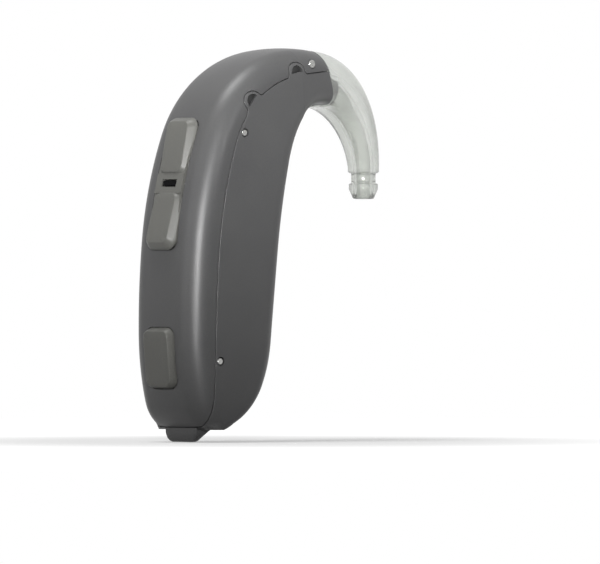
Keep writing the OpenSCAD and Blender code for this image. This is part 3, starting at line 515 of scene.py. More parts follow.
def port_prism(t):
    """The half round of a microphone port, straight across the case."""
    p = deep(t, seam_depth(t) - PORT_LIFT)
    a, b = deep(t, 0), deep(t, SEAM_INSET)
    lean = math.atan2(a[1] - b[1], a[0] - b[0])
    turn = np.linspace(-math.pi / 2, math.pi / 2, 25)
    outline = [(p[0] + PORT_R * math.cos(lean + q), p[1] + PORT_R * math.sin(lean + q)) for q in turn]
    return prism_across(outline, -ACROSS, ACROSS)


ROWS = skin_rows()
SPINE_EDGE, BASE_EDGE = seam_edges(ROWS)


def hook_pin_place():
    return deep(HOOK_PIN, BACK_WALL + TONGUE_DEPTH + TONGUE_HEIGHT / 2)


def program_axle_place():
    return on_back(PROGRAM_PLACE - PROGRAM_LENGTH / 2 + BUTTON_CORNER, -AXLE_DEPTH)


def make_spine_cover():
    rings = [spine_ring(t, e) for t, e in zip(ROWS, SPINE_EDGE) if t > SEAM_FOOT and e > 0.01]
    obj = new_mesh("spine_shell", *loft(rings), "case", "shell_plastic", merge=1e-8)
    wide = BUTTON_WIDTH / 2 + BUTTON_GAP
    bridge = BRIDGE_LENGTH / 2 + BUTTON_GAP
    groove = wide - AXLE_FREE
    cut(obj, [cavity(), recess(ROCKER_PLACE, ROCKER_LENGTH), recess(PROGRAM_PLACE, PROGRAM_LENGTH),
              band(ROCKER_PLACE - bridge, ROCKER_PLACE + bridge, -BRIDGE_ROOM, ABOVE - 0.1,
                   lambda s: wide - PIN_FREE, 6),
              band(ROCKER_PLACE - SLOT_LENGTH / 2, ROCKER_PLACE + SLOT_LENGTH / 2, BELOW, ABOVE - 0.2,
                   lambda s: SLOT_WIDTH / 2, 2),
              cylinder_across(program_axle_place(), AXLE_GROOVE_R, -groove, groove),
              pin_bore(pin_place(UPPER_PIN)), pin_bore(pin_place(LOWER_PIN)), pin_bore(hook_pin_place())])
    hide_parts("spine_cover")
    return obj


DOOR_AXLE = off_front(DOOR_STATION, -DOOR_INSET)


def make_base_shell():
    rings = [base_ring(t, e) for t, e in zip(ROWS, BASE_EDGE)]
    obj = new_mesh("base_shell_skin", *loft(rings), "case", "shell_plastic", merge=1e-8)
    head = DOOR_AXLE[1] + DOOR_INSET + DOOR_GAP
    clear = DOOR_WIDTH / 2 + DOOR_GAP
    behind, ahead = FOOT_X - CASE_WIDTH, DOOR_AXLE[0] + ACROSS / 2
    opening = [(behind, -ABOVE), (ahead, -ABOVE), (ahead, head), (behind, head)]
    cut(obj, [cavity(), prism_across(opening, -clear, clear), pin_bore(pin_place(UPPER_PIN)),
              pin_bore(pin_place(LOWER_PIN))] + [port_prism(t) for t in PORT_STATIONS])
    outer = half_width(DOOR_STATION) - SIDE_WALL / 2
    for n, (y0, y1) in enumerate(((clear, outer), (-outer, -clear))):
        boss = new_mesh("boss_%d" % n, *cylinder_across(DOOR_AXLE, KNUCKLE_R - LUG_FREE, y0, y1), None)
        cut(boss, [whole_skin()], "INTERSECT")
        verts = [tuple(v.co / MM) for v in boss.data.vertices]
        cut(obj, [(verts, [tuple(f.vertices) for f in boss.data.polygons])], "UNION")
        bpy.data.objects.remove(boss)
    cut(obj, [cylinder_across(DOOR_AXLE, DOOR_AXLE_R, -clear - SIDE_WALL, clear + SIDE_WALL)])
    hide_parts("base_shell")
    return obj


# Pins


def pin_heads(p, t):
    """Just below the skin at that station, so that both ends show in their bores."""
    outer = half_width(t) - HEAD_DEPTH
    inner = outer - HEAD_LENGTH
    return joined(cylinder_across(p, HEAD_R, -outer, -inner, chamfer=PIN_CHAMFER),
                  cylinder_across(p, HEAD_R, inner, outer, chamfer=PIN_CHAMFER))


def make_pins():
    pins = []
    for name, t in (("upper_case_pins", UPPER_PIN), ("lower_case_pins", LOWER_PIN)):
        obj = new_mesh(name + "_turned", *pin_heads(pin_place(t), t), "case", "pin_steel")
        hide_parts(name)
        pins.append(obj)
    lo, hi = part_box("hook_pin")
    half = (hi[1] - lo[1]) / 2 / MM
    obj = new_mesh("hook_pin_turned",
                   *cylinder_across(hook_pin_place(), PIN_R, -half, half, chamfer=PIN_CHAMFER),
                   "case", "pin_steel")
    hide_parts("hook_pin")
    pins.append(obj)
    return pins


# Buttons


def rounded_rectangle(length, width, corner, steps=8):
    points = []
    for sx, sy, start in ((1, 1, 0), (-1, 1, 90), (-1, -1, 180), (1, -1, 270)):
        for k in range(steps + 1):
            a = math.radians(start + 90 * k / steps)
            points.append((sx * (length / 2 - corner) + corner * math.cos(a),
                           sy * (width / 2 - corner) + corner * math.sin(a)))
    return points


def pad(s0, s1, face_width, h0, h1):
    """A button pad: a flat tilted face, a crisp rolled edge and walls that flare to the case."""
    a, b = on_back(s0, h0), on_back(s1, h1)
    size = math.hypot(b[0] - a[0], b[1] - a[1])
    u = ((b[0] - a[0]) / size, (b[1] - a[1]) / size)
    n = (-u[1], u[0])
    middle = ((a[0] + b[0]) / 2, (a[1] + b[1]) / 2)
    flare = (BUTTON_WIDTH - face_width) / 2
    steps = [(flare + 0.9, 0.02, 0.4), (flare + PAD_ROLL, 0, 0.62)]
    for k in range(1, 6):
        q = math.radians(70 * k / 5)
        steps.append((flare + PAD_ROLL - PAD_ROLL * math.sin(q), PAD_ROLL * (1 - math.cos(q)), 0.74))
    steps += [(0.6 * flare, 0.3, 0.86), (0.28 * flare, 0.55, 0.98), (0.06 * flare, 0.75, 1.08),
              (0, 0.88, BUTTON_CORNER)]
    rings = []
    for inset, drop, corner in steps:
        ring = []
        for x, y in rounded_rectangle(size - 2 * inset, BUTTON_WIDTH - 2 * inset, corner):
            height = (h0 + h1) / 2 + (h1 - h0) * x / size
            low = min(drop, height + 0.1)
            ring.append((middle[0] + u[0] * x - n[0] * low, y, middle[1] + u[1] * x - n[1] * low))
        rings.append(ring)
    foot = []
    for x, y in rounded_rectangle(s1 - s0, BUTTON_WIDTH, BUTTON_CORNER):
        p = on_back((s0 + s1) / 2 + x, PAD_FOOT)
        foot.append((p[0], y, p[1]))
    rings.append(foot)
    return loft(rings)


def on_back_matrix(s):
    """Turns a shape drawn about Z so that it stands on the back line at a length along it."""
    p = back(station(s, BACK_ARCS))
    return Matrix.Translation((p[0], 0, p[1])) @ Matrix.Rotation(math.radians(-p[2]), 4, "Y")


def plunger(s):
    profile = [(PLUNGER_R - 0.06, -1.76), (PLUNGER_R, -1.7), (PLUNGER_R, -0.3)]
    return moved(turned(profile, 32), on_back_matrix(s))


def key_web(name, place, length, body):
    """The thin plate under a button's pads."""
    size = length - 2 * WEB_EDGE
    half = rounded_half(place, size, BUTTON_WIDTH - 2 * WEB_EDGE, BUTTON_CORNER)
    shape = band(place - size / 2, place + size / 2, WEB_LOW, WEB_HIGH, half)
    return new_mesh(name, *shape, body, "button_plastic")


def make_rocker():
    """Two pads tilted towards the bridge, with the window between them and the axle under it."""
    top, bottom = ROCKER_PLACE + ROCKER_LENGTH / 2, ROCKER_PLACE - ROCKER_LENGTH / 2
    obj = new_mesh("rocker_key", *joined(
        pad(ROCKER_PLACE + PAD_START, top, ROCKER_FACE, PAD_LOW, PAD_HIGH),
        pad(bottom, ROCKER_PLACE - PAD_START, ROCKER_FACE, PAD_HIGH, PAD_LOW),
        plunger(ROCKER_PLACE - PLUNGER_REACH), plunger(ROCKER_PLACE + PLUNGER_REACH)),
        "rocker", "button_plastic", sharp=40)
    web = key_web("rocker_web", ROCKER_PLACE, ROCKER_LENGTH, "rocker")
    reach = BRIDGE_LENGTH / 2 + BRIDGE_EDGE
    bridge = new_mesh("rocker_bridge", *band(
        ROCKER_PLACE - reach, ROCKER_PLACE + reach, BRIDGE_LOW, BRIDGE_HIGH,
        lambda s: BUTTON_WIDTH / 2 - BRIDGE_EDGE, 10), "rocker", "button_plastic")
    frame_half = WINDOW_HEIGHT / 2 + BUTTON_GAP
    window = band(ROCKER_PLACE - frame_half, ROCKER_PLACE + frame_half, BELOW, ABOVE,
                  lambda s: WINDOW_WIDTH / 2 + BUTTON_GAP, 4)
    cut(web, [band(ROCKER_PLACE - BRIDGE_ROOM, ROCKER_PLACE + BRIDGE_ROOM, BELOW, ABOVE,
                   lambda s: BUTTON_WIDTH / 2 - RUNNER, 4)])
    cut(bridge, [window, cylinder_across(on_back(ROCKER_PLACE, -AXLE_DEPTH), AXLE_BORE_R, -ACROSS, ACROSS)])
    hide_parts("volume_rocker")
    return [obj, web, bridge]


def make_program_button():
    """One pad of even height, hinged at its lower end."""
    top, bottom = PROGRAM_PLACE + PROGRAM_LENGTH / 2, PROGRAM_PLACE - PROGRAM_LENGTH / 2
    obj = new_mesh("program_key", *joined(
        pad(bottom, top, PROGRAM_FACE, PROGRAM_HEIGHT, PROGRAM_HEIGHT),
        plunger(top - PLUNGER_INSET)), "program", "button_plastic", sharp=40)
    web = key_web("program_web", PROGRAM_PLACE, PROGRAM_LENGTH, "program")
    sleeve = BUTTON_WIDTH / 2 - WEB_EDGE
    cut(web, [cylinder_across(program_axle_place(), AXLE_SLEEVE_R, -sleeve, sleeve)], "UNION")
    cut(web, [cylinder_across(program_axle_place(), AXLE_BORE_R, -ACROSS, ACROSS)])
    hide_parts("program_button")
    return [obj, web]


def make_light_guide():
    """The smoked window: a thin bar with softened edges and a polished face."""
    rings = []
    for inset, z in ((0.05, -1.95), (0, -1.9), (0, 0), (0.04, 0.05)):
        rings.append([(x, y, z) for x, y in
                      rounded_rectangle(WINDOW_HEIGHT - 2 * inset, WINDOW_WIDTH - 2 * inset, 0.1, 4)])
    obj = new_mesh("window_bar", *moved(loft(rings), on_back_matrix(ROCKER_PLACE)), "case", "window_plastic")
    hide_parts("light_guide")
    return obj


# Battery door and cell


def cell_middle():
    return (back(FOOT_STATION)[0] + CELL_BACK_GAP + CELL_D / 2, CELL_Z)


def nail_grip():
    """The lip under the door: an upright rear face, a front that slopes back and rounded ends."""
    x0, top = FOOT_X - GRIP_BACK, FOOT_HEIGHT + GRIP_ROOT
    side = [(x0, top), (x0, 0.3), (x0 + 0.06, 0.12), (x0 + 0.2, 0.02), (x0 + 0.5, 0.02), (x0 + 0.68, 0.1),
            (x0 + GRIP_LENGTH, FOOT_HEIGHT), (x0 + GRIP_LENGTH, top)]
    rows = [(-GRIP_WIDTH / 2 + inset, rise) for inset, rise in GRIP_ENDS]
    rows += [(GRIP_WIDTH / 2 - inset, rise) for inset, rise in reversed(GRIP_ENDS)]
    return loft([[(x, y, top - (top - z) * (top - rise) / top) for x, z in side] for y, rise in rows])


def cell_carrier():
    """The open ring that holds the cell in the door."""
    c = cell_middle()
    inner = CELL_D / 2 + CARRIER_FREE
    outer = inner + CARRIER_WALL
    arc = [math.radians(a) for a in np.linspace(*CARRIER_ARC, 60)]
    cup = [(c[0] + outer * math.cos(a), c[1] + outer * math.sin(a)) for a in arc]
    cup += [(c[0] + inner * math.cos(a), c[1] + inner * math.sin(a)) for a in reversed(arc)]
    return prism_across(cup, -CARRIER_WIDTH / 2, CARRIER_WIDTH / 2)


def make_door():
    """The door: a slice of the case's own skin with the knuckle, the carrier ring and the nail grip."""
    obj = new_mesh("door_skin", *whole_skin(), "door", "shell_plastic", merge=1e-8)
    edge = SEAM_FOOT - DOOR_EDGE
    ts = np.linspace(-edge, DOOR_STATION, 61)

    def rim(u, inset):
        return off(back(-u), -inset) if u < 0 else off_front(u, -inset)

    half = DOOR_WIDTH / 2
    outline = [rim(u, -ABOVE) for u in ts] + [rim(u, DOOR_WALL) for u in reversed(ts)]
    cut(obj, [prism_across(outline, -half, half)], "INTERSECT")
    cut(obj, [cell_carrier(), cylinder_across(DOOR_AXLE, KNUCKLE_R, -half, half), nail_grip()], "UNION")
    cut(obj, [cylinder_across(cell_middle(), CELL_D / 2 + CARRIER_FREE, -half + 0.15, half - 0.15, 96),
              cylinder_across(DOOR_AXLE, DOOR_AXLE_R + PIN_FREE, -ACROSS, ACROSS)])
    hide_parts("battery_door")
    return obj


def make_cell():
    """A zinc-air cell: can with a rolled edge, a seal line and a raised cap."""
    c = cell_middle()
    r, h = CELL_D / 2, CELL_THICKNESS
    cap = CAP_SHARE * r
    profile = [(0.01, 0), (r - 0.9, 0), (r - 0.8, 0.05), (r - 0.45, 0.05), (r - 0.2, 0.12), (r - 0.05, 0.3),
               (r, 0.55), (r, h - 0.95), (r - 0.06, h - 0.72), (r - 0.22, h - 0.52), (r - 0.5, h - 0.42),
               (r - 0.78, h - 0.4), (cap, h - 0.36), (cap, h - 0.12), (cap - 0.04, h - 0.03), (cap - 0.12, h),
               (0.01, h)]
    turn = Matrix.Translation((c[0], -h / 2, c[1])) @ Matrix.Rotation(math.radians(-90), 4, "X")
    obj = new_mesh("cell_can", *moved(turned(profile, 96), turn), "door", "cell_steel")
    holes = []
    for k in range(4):
        a = math.radians(45 + 90 * k)
        place = (c[0] + AIR_HOLE_REACH * math.cos(a), c[1] + AIR_HOLE_REACH * math.sin(a))
        holes.append(cylinder_across(place, AIR_HOLE_R, -h / 2 - 0.2, -h / 2 + AIR_HOLE_DEPTH, 20))
    cut(obj, holes)
    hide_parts("battery_cell")
    return obj


# Ear hook


def hook_line():
    start = deep(LAST, full_depth(LAST) / 2)
    return joints((start[0], start[1], HOOK_HEADING), HOOK_ARCS)


HOOK_LINE = hook_line()
HOOK_LENGTH = sum(a[0] for a in HOOK_ARCS)
HOOK_END = HOOK_LINE[-1]
BORE_ARCS = [(HOOK_LENGTH * share, turn) for share, turn in zip(BORE_SHARES, BORE_TURNS)]
BORE_LINE = joints((HOOK_END[0], HOOK_END[1], 90), BORE_ARCS)


def polar_ring(c, heading, polar):
    """A ring square to a heading, from its radius at each angle."""
    face = math.radians(heading)
    return [(c[0] + r * math.cos(a) * math.sin(face), r * math.sin(a),
             c[1] - r * math.cos(a) * math.cos(face)) for r, a in polar]


def round_ring(c, heading, r, angles):
    return polar_ring(c, heading, [(r, a) for a in angles])


def hook_rings(count=96):
    """Outer rings from the case end to the shoulder."""
    points = half_outline(LAST)
    lengths = along(points)
    ring = place_ring(LAST, at_lengths(points, lengths, np.linspace(0, lengths[-1], count // 2 + 1)))
    ring = ring[:count // 2 + 1] + ring[count // 2 + 2:-1]
    e = math.radians(END_HEADING)
    polar = []
    for x, y, z in ring:
        v = (x - HOOK_LINE[0][0], z - HOOK_LINE[0][1])
        across = v[0] * math.sin(e) - v[1] * math.cos(e)
        polar.append((math.hypot(across, y), math.atan2(y, across)))
    rings = []
    for j in range(71):
        f = j / 70
        c = on_chain(HOOK_LINE, HOOK_ARCS, station(f * HOOK_LENGTH, HOOK_ARCS))
        heading = c[2] + (END_HEADING - HOOK_HEADING) * max(0, 1 - f / HOOK_LEVELLING) ** 2
        keep = (1 - f) ** HOOK_TAPER
        rings.append(polar_ring(c, heading, [(r * keep + HOOK_END_R * (1 - keep), a) for r, a in polar]))
    return rings, [a for _, a in polar]


def make_hook():
    """The hook as one skin: outside from the case to the tip, then back through the sound bore."""
    rings, angles = hook_rings()
    rings[0] = [(x + HOOK_GAP * END_STEP[0], y, z + HOOK_GAP * END_STEP[1]) for x, y, z in rings[0]]
    end, neck = HOOK_END_R, NECK_LENGTH
    land = neck + BARB_LAND
    tip = land + BARB_CONE
    outside = [(-0.02, end), (0.02, end - 0.02), (0.09, end - 0.07), (0.16, end - 0.16),
               (0.17, NECK_R + 0.12), (0.2, NECK_R + 0.03), (0.3, NECK_R), (neck - 0.12, NECK_R),
               (neck - 0.03, NECK_R + 0.04), (neck, NECK_R + 0.1), (neck + 0.01, BARB_R - 0.06),
               (neck + 0.07, BARB_R), (land - 0.05, BARB_R), (land + 0.04, BARB_R - 0.03),
               (tip - 0.1, TIP_R + 0.06), (tip - 0.02, TIP_R), (tip, TIP_R - 0.07), (tip, BORE_R + 0.09),
               (tip - 0.06, BORE_R + 0.02)]
    inside = [(drop, BORE_R) for drop in np.linspace(tip - 0.2, 0.1, 8)]
    rings = rings[:-1]
    for drop, r in outside + inside:
        rings.append(round_ring((HOOK_END[0], HOOK_END[1] - drop), -90, r, angles))
    for s in np.linspace(0, sum(length for length, _ in BORE_ARCS), 31):
        c = on_chain(BORE_LINE, BORE_ARCS, station(s, BORE_ARCS))
        rings.append(round_ring(c, c[2] - 180, BORE_R, angles))
    mouth = deep(LAST, SOCKET_PLACE)
    h = math.radians(HOOK_HEADING)
    for reach, r in ((SOCKET_DEPTH, BORE_R + 0.02), (SOCKET_DEPTH - 0.01, SOCKET_R), (1.0, SOCKET_R),
                     (0.4, SOCKET_R)):
        place = (mouth[0] + reach * math.cos(h), mouth[1] + reach * math.sin(h))
        rings.append(round_ring(place, HOOK_HEADING, r, angles))
    place = (mouth[0] + HOOK_GAP * END_STEP[0], mouth[1] + HOOK_GAP * END_STEP[1])
    rings.append(round_ring(place, END_HEADING, SOCKET_R, angles))
    count = len(angles)
    faces = loft_faces(len(rings), count, caps=False)
    last = (len(rings) - 1) * count
    faces += [(last + i, last + (i + 1) % count, (i + 1) % count, i) for i in range(count)]
    verts = [p for ring in rings for p in ring]
    obj = new_mesh("hook_clear", verts, faces, "case", "clear_plastic", sharp=40, merge=1e-9)
    top = BACK_WALL + TONGUE_DEPTH
    ts = np.linspace(TABS_END, LAST - PIN_FREE, 8)
    tongue = [deep(t, top) for t in ts] + [deep(t, top + TONGUE_HEIGHT) for t in ts[::-1]]
    root = new_mesh("hook_tongue", *prism_across(tongue, -TONGUE_WIDTH / 2, TONGUE_WIDTH / 2),
                    "case", "clear_plastic")
    cut(root, [cylinder_across(hook_pin_place(), PIN_R, -ACROSS / 2, ACROSS / 2)])
    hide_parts("ear_hook")
    return [obj, root]


# Finishes


def linear(code):
    """An sRGB hex colour made linear."""
    out = []
    for k in (0, 2, 4):
        v = int(code[k:k + 2], 16) / 255
        out.append(v / 12.92 if v <= 0.04045 else ((v + 0.055) / 1.055) ** 2.4)
    return (*out, 1.0)


def add(tree, kind, inputs=None, **settings):
    """Adds a shader node with its settings; an input is a value or the socket that feeds it."""
    node = tree.nodes.new("ShaderNode" + kind)
    for name, value in settings.items():
        setattr(node, name, value)
    for name, value in (inputs or {}).items():
        if isinstance(value, bpy.types.NodeSocket):
            tree.links.new(value, node.inputs[name])
        else:
            node.inputs[name].default_value = value
    return node


METAL = {"Metallic": 1.0}
WAVES = 20


def blank_tree(owner):
    """The emptied node tree of a new material or world."""
    owner.use_nodes = True
    owner.node_tree.nodes.clear()
    return owner.node_tree


def per_mm(size):
    """Noise scale, in features a metre, for a feature size in millimetres."""
    return 1 / (size * MM)


def finish(name, dark, light, grain, rough=(0.4, 0.5), bump=0.1, patch=2.5, stretch=None, **sockets):
    """A finish: a colour that drifts between two near tones, fine grain in roughness and height."""
    mat = bpy.data.materials.new(name)
    tree = blank_tree(mat)
    place = add(tree, "TexCoord").outputs["Object"]
    if stretch:
        place = add(tree, "Mapping", {"Vector": place, "Scale": stretch}).outputs["Vector"]
    wide = add(tree, "TexNoise", {"Vector": place, "Scale": per_mm(patch), "Detail": 3.0})
    fine = add(tree, "TexNoise", {"Vector": place, "Scale": per_mm(grain), "Detail": 2.0})
    both = add(tree, "Math", {0: wide.outputs["Fac"], 1: fine.outputs["Fac"]}, operation="ADD")
    half = add(tree, "Math", {0: both.outputs[0], 1: 0.5}, operation="MULTIPLY")
    ramp = add(tree, "ValToRGB", {"Fac": half.outputs[0]})
    ramp.color_ramp.elements[0].position = 0.35
    ramp.color_ramp.elements[0].color = linear(dark)
    ramp.color_ramp.elements[1].position = 0.65
    ramp.color_ramp.elements[1].color = linear(light)
    spread = add(tree, "MapRange", {"Value": fine.outputs["Fac"], "From Min": 0.3, "From Max": 0.7,
                                    "To Min": rough[0], "To Max": rough[1]})
    relief = add(tree, "Bump", {"Height": fine.outputs["Fac"], "Strength": bump,
                                "Distance": grain * MM * 0.3})
    shader = add(tree, "BsdfPrincipled", {"Base Color": ramp.outputs["Color"],
                                          "Roughness": spread.outputs["Result"],
                                          "Normal": relief.outputs["Normal"], **sockets})
    add(tree, "OutputMaterial", {"Surface": shader.outputs["BSDF"]})
    return mat, tree, shader, relief


def raise_pattern(tree, shader, relief, height, strength, depth):
    """Lays a coarse pattern, depth millimetres high, over a finish's fine relief."""
    coarse = add(tree, "Bump", {"Height": height, "Strength": strength, "Distance": depth * MM,
                                "Normal": relief.outputs["Normal"]})
    tree.links.new(coarse.outputs["Normal"], shader.inputs["Normal"])


def graphite_lacquer():
    """Graphite lacquer sprayed on a moulded shell: a fine satin grain and broad soft highlights."""
    return finish("graphite_lacquer", "424243", "494949", 0.12, rough=(0.35, 0.41), bump=0.18, patch=6,
                  **{"Specular IOR Level": 0.42, "IOR": 1.45})[0]


def button_moulding():
    """Satin moulded ABS with fine spark texture: a shade lighter and warmer than the shell."""
    return finish("button_moulding", "585855", "5f5f5b", 0.12, rough=(0.36, 0.42), bump=0.18, patch=5,
                  **{"Specular IOR Level": 0.3, "IOR": 1.45})[0]


def clear_hook():
    """Clear moulded polycarbonate with a faint milky body: bright edges, soft streaks in the bore, and
    painted shade that darkens the base colour towards the tube's grazing edges.
    """
    mat, tree, shader, _ = finish("clear_hook", "d6d9d4", "e4e6e2", 0.8, rough=(0.05, 0.12), bump=0.02,
                                  patch=3, **{"IOR": 1.5, "Transmission Weight": 0.82})
    body = shader.inputs["Base Color"].links[0].from_socket
    # Painted shade: the base colour darkens to grey where the tube's surface turns away from view (Layer
    # Weight facing).
    edge = add(tree, "LayerWeight", {"Blend": 0.35})
    painted_edge_shade = add(tree, "Mix", {"Factor": edge.outputs["Facing"], 6: body, 7: linear("8e918c")},
                    data_type="RGBA")
    tree.links.new(painted_edge_shade.outputs[2], shader.inputs["Base Color"])
    return mat


def smoked_window():
    """Smoked acrylic light guide: near black, with a polished face."""
    return finish("smoked_acrylic", "040405", "08080a", 0.3, rough=(0.2, 0.3), bump=0.02,
                  **{"IOR": 1.3, "Specular IOR Level": 0.1})[0]


def lamp_resin():
    """Cast epoxy of the lamp: milky and smooth."""
    return finish("cast_epoxy_lamp", "d8d8cc", "e6e6dc", 0.3, rough=(0.15, 0.25), bump=0.03,
                  **{"IOR": 1.5})[0]


def drawn_steel():
    """Drawn stainless wire, faced on a lathe: bright with fine turning marks."""
    return finish("drawn_stainless", "9a9a98", "b4b4b1", 0.06, rough=(0.22, 0.34), bump=0.15, patch=0.4,
                  **METAL)[0]


def nickel_cell():
    """Nickel plated steel cup of the cell: bright, slightly grained along the drawing direction."""
    return finish("nickel_plate", "b9b8b2", "d2d1cb", 0.1, rough=(0.2, 0.3), bump=0.08, patch=1.5,
                  stretch=(1, 0.15, 1), **METAL)[0]


def drawn_can():
    """Deep drawn nickel alloy can: dull silver with a fine grain."""
    return finish("drawn_nickel_can", "9a9a96", "b2b2ae", 0.1, rough=(0.3, 0.42), bump=0.1, patch=1,
                  **METAL)[0]


def gold_flash():
    """Gold flash over spring bronze: warm and bright."""
    return finish("gold_flash", "c79a3e", "d9b055", 0.1, rough=(0.2, 0.3), bump=0.06, patch=1, **METAL)[0]


def black_silicone():
    """Moulded silicone rubber: matt black with a dusty grain."""
    return finish("black_silicone", "161617", "222223", 0.15, rough=(0.65, 0.8), bump=0.15, patch=1)[0]


def tube_silicone():
    """Extruded silicone tube: milky grey and soft."""
    return finish("tube_silicone", "b2b2ac", "c6c6c0", 0.2, rough=(0.4, 0.55), bump=0.05, patch=1.5,
                  **{"Subsurface Weight": 0.2, "Subsurface Scale": 0.0005})[0]


def frame_nylon():
    """Glass filled nylon of the inner frame: dark grey, slightly fibrous."""
    return finish("glass_filled_nylon", "2e2e2f", "3a3a3b", 0.15, rough=(0.5, 0.65), bump=0.2, patch=1,
                  stretch=(1, 1, 0.3))[0]


def chip_epoxy():
    """Epoxy moulding compound of the amplifier: black and sandy."""
    return finish("moulding_compound", "0f0f10", "1a1a1b", 0.1, rough=(0.5, 0.62), bump=0.2, patch=0.8)[0]


def screen_weave():
    """Woven acoustic mesh: black threads, drawn at 0.12 mm so that they show."""
    mat, tree, shader, relief = finish("acoustic_weave", "070707", "111111", 0.1, rough=(0.6, 0.75), bump=0.1)
    place = add(tree, "TexCoord").outputs["Object"]
    warp, weft = [add(tree, "TexWave", {"Vector": place, "Scale": per_mm(0.12) / WAVES}, bands_direction=way)
                  for way in ("X", "Z")]
    both = add(tree, "Math", {0: warp.outputs["Fac"], 1: weft.outputs["Fac"]}, operation="MULTIPLY")
    raise_pattern(tree, shader, relief, both.outputs[0], 0.8, 0.04)
    return mat


def board_mask():
    """Green solder mask over copper: glossy, with faint raised tracks."""
    mat, tree, shader, relief = finish("solder_mask", "0d3a22", "14502f", 0.2, rough=(0.25, 0.35),
                                       bump=0.05, patch=1)
    place = add(tree, "TexCoord").outputs["Object"]
    tracks = add(tree, "TexBrick", {"Vector": place, "Scale": per_mm(0.8) / 4, "Mortar Size": 0.03,
                                    "Color1": linear("000000"), "Color2": linear("000000"),
                                    "Mortar": linear("ffffff")})
    raise_pattern(tree, shader, relief, tracks.outputs["Color"], 0.6, 0.03)
    return mat


def coil_winding():
    """Lacquered copper wire, laid turn by turn: drawn with 0.15 mm turns so that they show."""
    mat, tree, shader, relief = finish("lacquered_winding", "8a4a22", "a65d2c", 0.2, rough=(0.25, 0.35),
                                       bump=0.05, patch=0.8, **METAL)
    place = add(tree, "TexCoord").outputs["Object"]
    turns = add(tree, "TexWave", {"Vector": place, "Scale": per_mm(0.15) / WAVES}, bands_direction="Z")
    raise_pattern(tree, shader, relief, turns.outputs["Fac"], 0.9, 0.04)
    return mat


FINISHES = {"shell_plastic": graphite_lacquer, "button_plastic": button_moulding, "clear_plastic": clear_hook,
            "window_plastic": smoked_window, "lamp_resin": lamp_resin, "pin_steel": drawn_steel,
            "cell_steel": nickel_cell, "can_steel": drawn_can, "gold_contact": gold_flash,
            "soft_rubber": black_silicone, "soft_tube": tube_silicone, "screen_mesh": screen_weave,
            "inner_plastic": frame_nylon, "board_resin": board_mask, "chip_resin": chip_epoxy,
            "coil_copper": coil_winding}


def put_finishes(pieces):
    made = {slot: make() for slot, make in FINISHES.items()}
    slots = {p["node"]: p["material_slot"] for p in frame["record"]["subparts"]}
    for node, obj in frame["nodes"].items():
        mat = made[slots[node]]
        if not obj.material_slots:
            obj.data.materials.append(mat)
        for slot in obj.material_slots:
            slot.material = mat
    for obj, slot in pieces:
        obj.data.materials.clear()
        obj.data.materials.append(made[slot])


# Studio


TARGET = Vector((2.72, -2.28, 16.39)) * MM
AZIMUTH = math.radians(-40)
TO_CAMERA = Vector((math.sin(AZIMUTH), -math.cos(AZIMUTH), 0))
TO_RIGHT = Vector((math.cos(AZIMUTH), math.sin(AZIMUTH), 0))
UP = Vector((0, 0, 1))
CAMERA_DISTANCE = 1.0
FRAME_WIDTH = 61.86 * MM
WORLD_FILL = 0.06
FLOOR_R, FLOOR_STEPS, FLOOR_DROP = 160, 96, 0.02
GLOW_NEAR, GLOW_FAR, GLOW_LEAST = 15, 60, 0.45


def make_camera():
    data = bpy.data.cameras.new("camera")
    data.sensor_width = 36
    data.lens = data.sensor_width * CAMERA_DISTANCE / FRAME_WIDTH
    data.clip_start = 0.01
    data.clip_end = 20
    obj = new_object("camera", data)
    obj.location = TARGET + TO_CAMERA * CAMERA_DISTANCE
    obj.rotation_euler = (math.pi / 2, 0, AZIMUTH)
    bpy.context.scene.camera = obj


def area_light(name, right, towards, up, size, power, spread, aim_up):
    """A rectangular lamp with a grid, placed by the camera's right, towards and up directions, in metres."""
    data = bpy.data.lights.new(name, "AREA")
    data.shape = "RECTANGLE"
    data.size, data.size_y = size
    data.energy = power
    data.spread = math.radians(spread)
    obj = new_object(name, data)
    obj.location = TARGET + TO_RIGHT * right + TO_CAMERA * towards + UP * up
    obj.rotation_euler = (TARGET + UP * aim_up - obj.location).to_track_quat("-Z", "Y").to_euler()
    obj.visible_camera = False


def make_lights():
    """A key over the camera for the shoulder's highlight, and soft fills from the right, left and top."""
    area_light("key_soft", right=-0.005, towards=0.27, up=0.035, size=(0.05, 0.03), power=0.028, spread=24,
               aim_up=0.03)
    area_light("side_soft", right=0.14, towards=0.16, up=0.08, size=(0.02, 0.02), power=0.0022, spread=24,
               aim_up=0.04)
    area_light("left_soft", right=-0.15, towards=0.12, up=0.06, size=(0.14, 0.14), power=0.0105, spread=60,
               aim_up=0.02)
    area_light("top_soft", right=-0.03, towards=0.02, up=0.14, size=(0.06, 0.06), power=0.0165, spread=60,
               aim_up=0.015)


def shown_rays(tree):
    """1 for the rays that show the background: from the camera, off a gloss and through glass."""
    rays = add(tree, "LightPath")
    seen = add(tree, "Math", {0: rays.outputs["Is Camera Ray"], 1: rays.outputs["Is Glossy Ray"]},
               operation="MAXIMUM")
    return add(tree, "Math", {0: seen.outputs[0], 1: rays.outputs["Is Transmission Ray"]},
               operation="MAXIMUM").outputs[0]


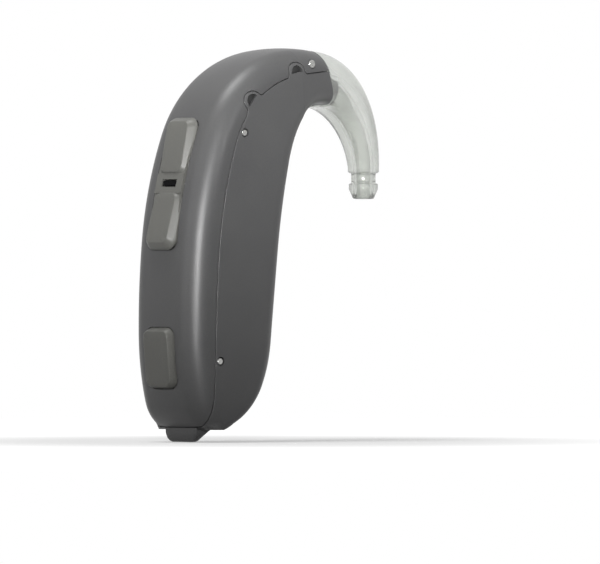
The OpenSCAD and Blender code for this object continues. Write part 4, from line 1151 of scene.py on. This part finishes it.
def make_world():
    world = bpy.data.worlds.new("studio")
    bpy.context.scene.world = world
    tree = blank_tree(world)
    fill = add(tree, "Background", {"Color": linear("ffffff"), "Strength": WORLD_FILL})
    white = add(tree, "Background", {"Color": linear("ffffff"), "Strength": 1.0})
    mix = add(tree, "MixShader", {0: shown_rays(tree), 1: fill.outputs[0], 2: white.outputs[0]})
    add(tree, "OutputWorld", {"Surface": mix.outputs[0]})


def make_floor():
    """A pale disc that glows to white away from the object, so that only the shadow shows on it."""
    rim = [(x, y, 0) for x, y in circle(FLOOR_R, FLOOR_STEPS)]
    obj = new_mesh("floor", rim, [tuple(range(FLOOR_STEPS))], None)
    obj.location.z = -FLOOR_DROP * MM
    mat = bpy.data.materials.new("floor_paper")
    tree = blank_tree(mat)
    paper = add(tree, "BsdfDiffuse", {"Color": linear("c8c8c8")})
    place = add(tree, "TexCoord").outputs["Object"]
    away = add(tree, "VectorMath", {0: place}, operation="LENGTH")
    lift = add(tree, "MapRange", {"Value": away.outputs["Value"], "From Min": GLOW_NEAR * MM,
                                  "From Max": GLOW_FAR * MM, "To Min": GLOW_LEAST, "To Max": 1.0},
               interpolation_type="SMOOTHSTEP")
    glow = add(tree, "Emission", {"Color": linear("ffffff"), "Strength": lift.outputs["Result"]})
    both = add(tree, "AddShader", {0: paper.outputs[0], 1: glow.outputs[0]})
    dull = add(tree, "BsdfDiffuse", {"Color": linear("5a5a5a")})
    mix = add(tree, "MixShader", {0: shown_rays(tree), 1: dull.outputs[0], 2: both.outputs[0]})
    add(tree, "OutputMaterial", {"Surface": mix.outputs[0]})
    obj.data.materials.append(mat)


def main():
    make_camera()
    pieces = [(make_spine_cover(), "shell_plastic"), (make_base_shell(), "shell_plastic"),
              (make_door(), "shell_plastic"), (make_cell(), "cell_steel"),
              (make_light_guide(), "window_plastic")]
    pieces += [(obj, "button_plastic") for obj in make_rocker() + make_program_button()]
    pieces += [(obj, "clear_plastic") for obj in make_hook()]
    pieces += [(obj, "pin_steel") for obj in make_pins()]
    put_finishes(pieces)
    make_lights()
    make_world()
    make_floor()
    bpy.context.scene.view_settings.view_transform = "Standard"


main()
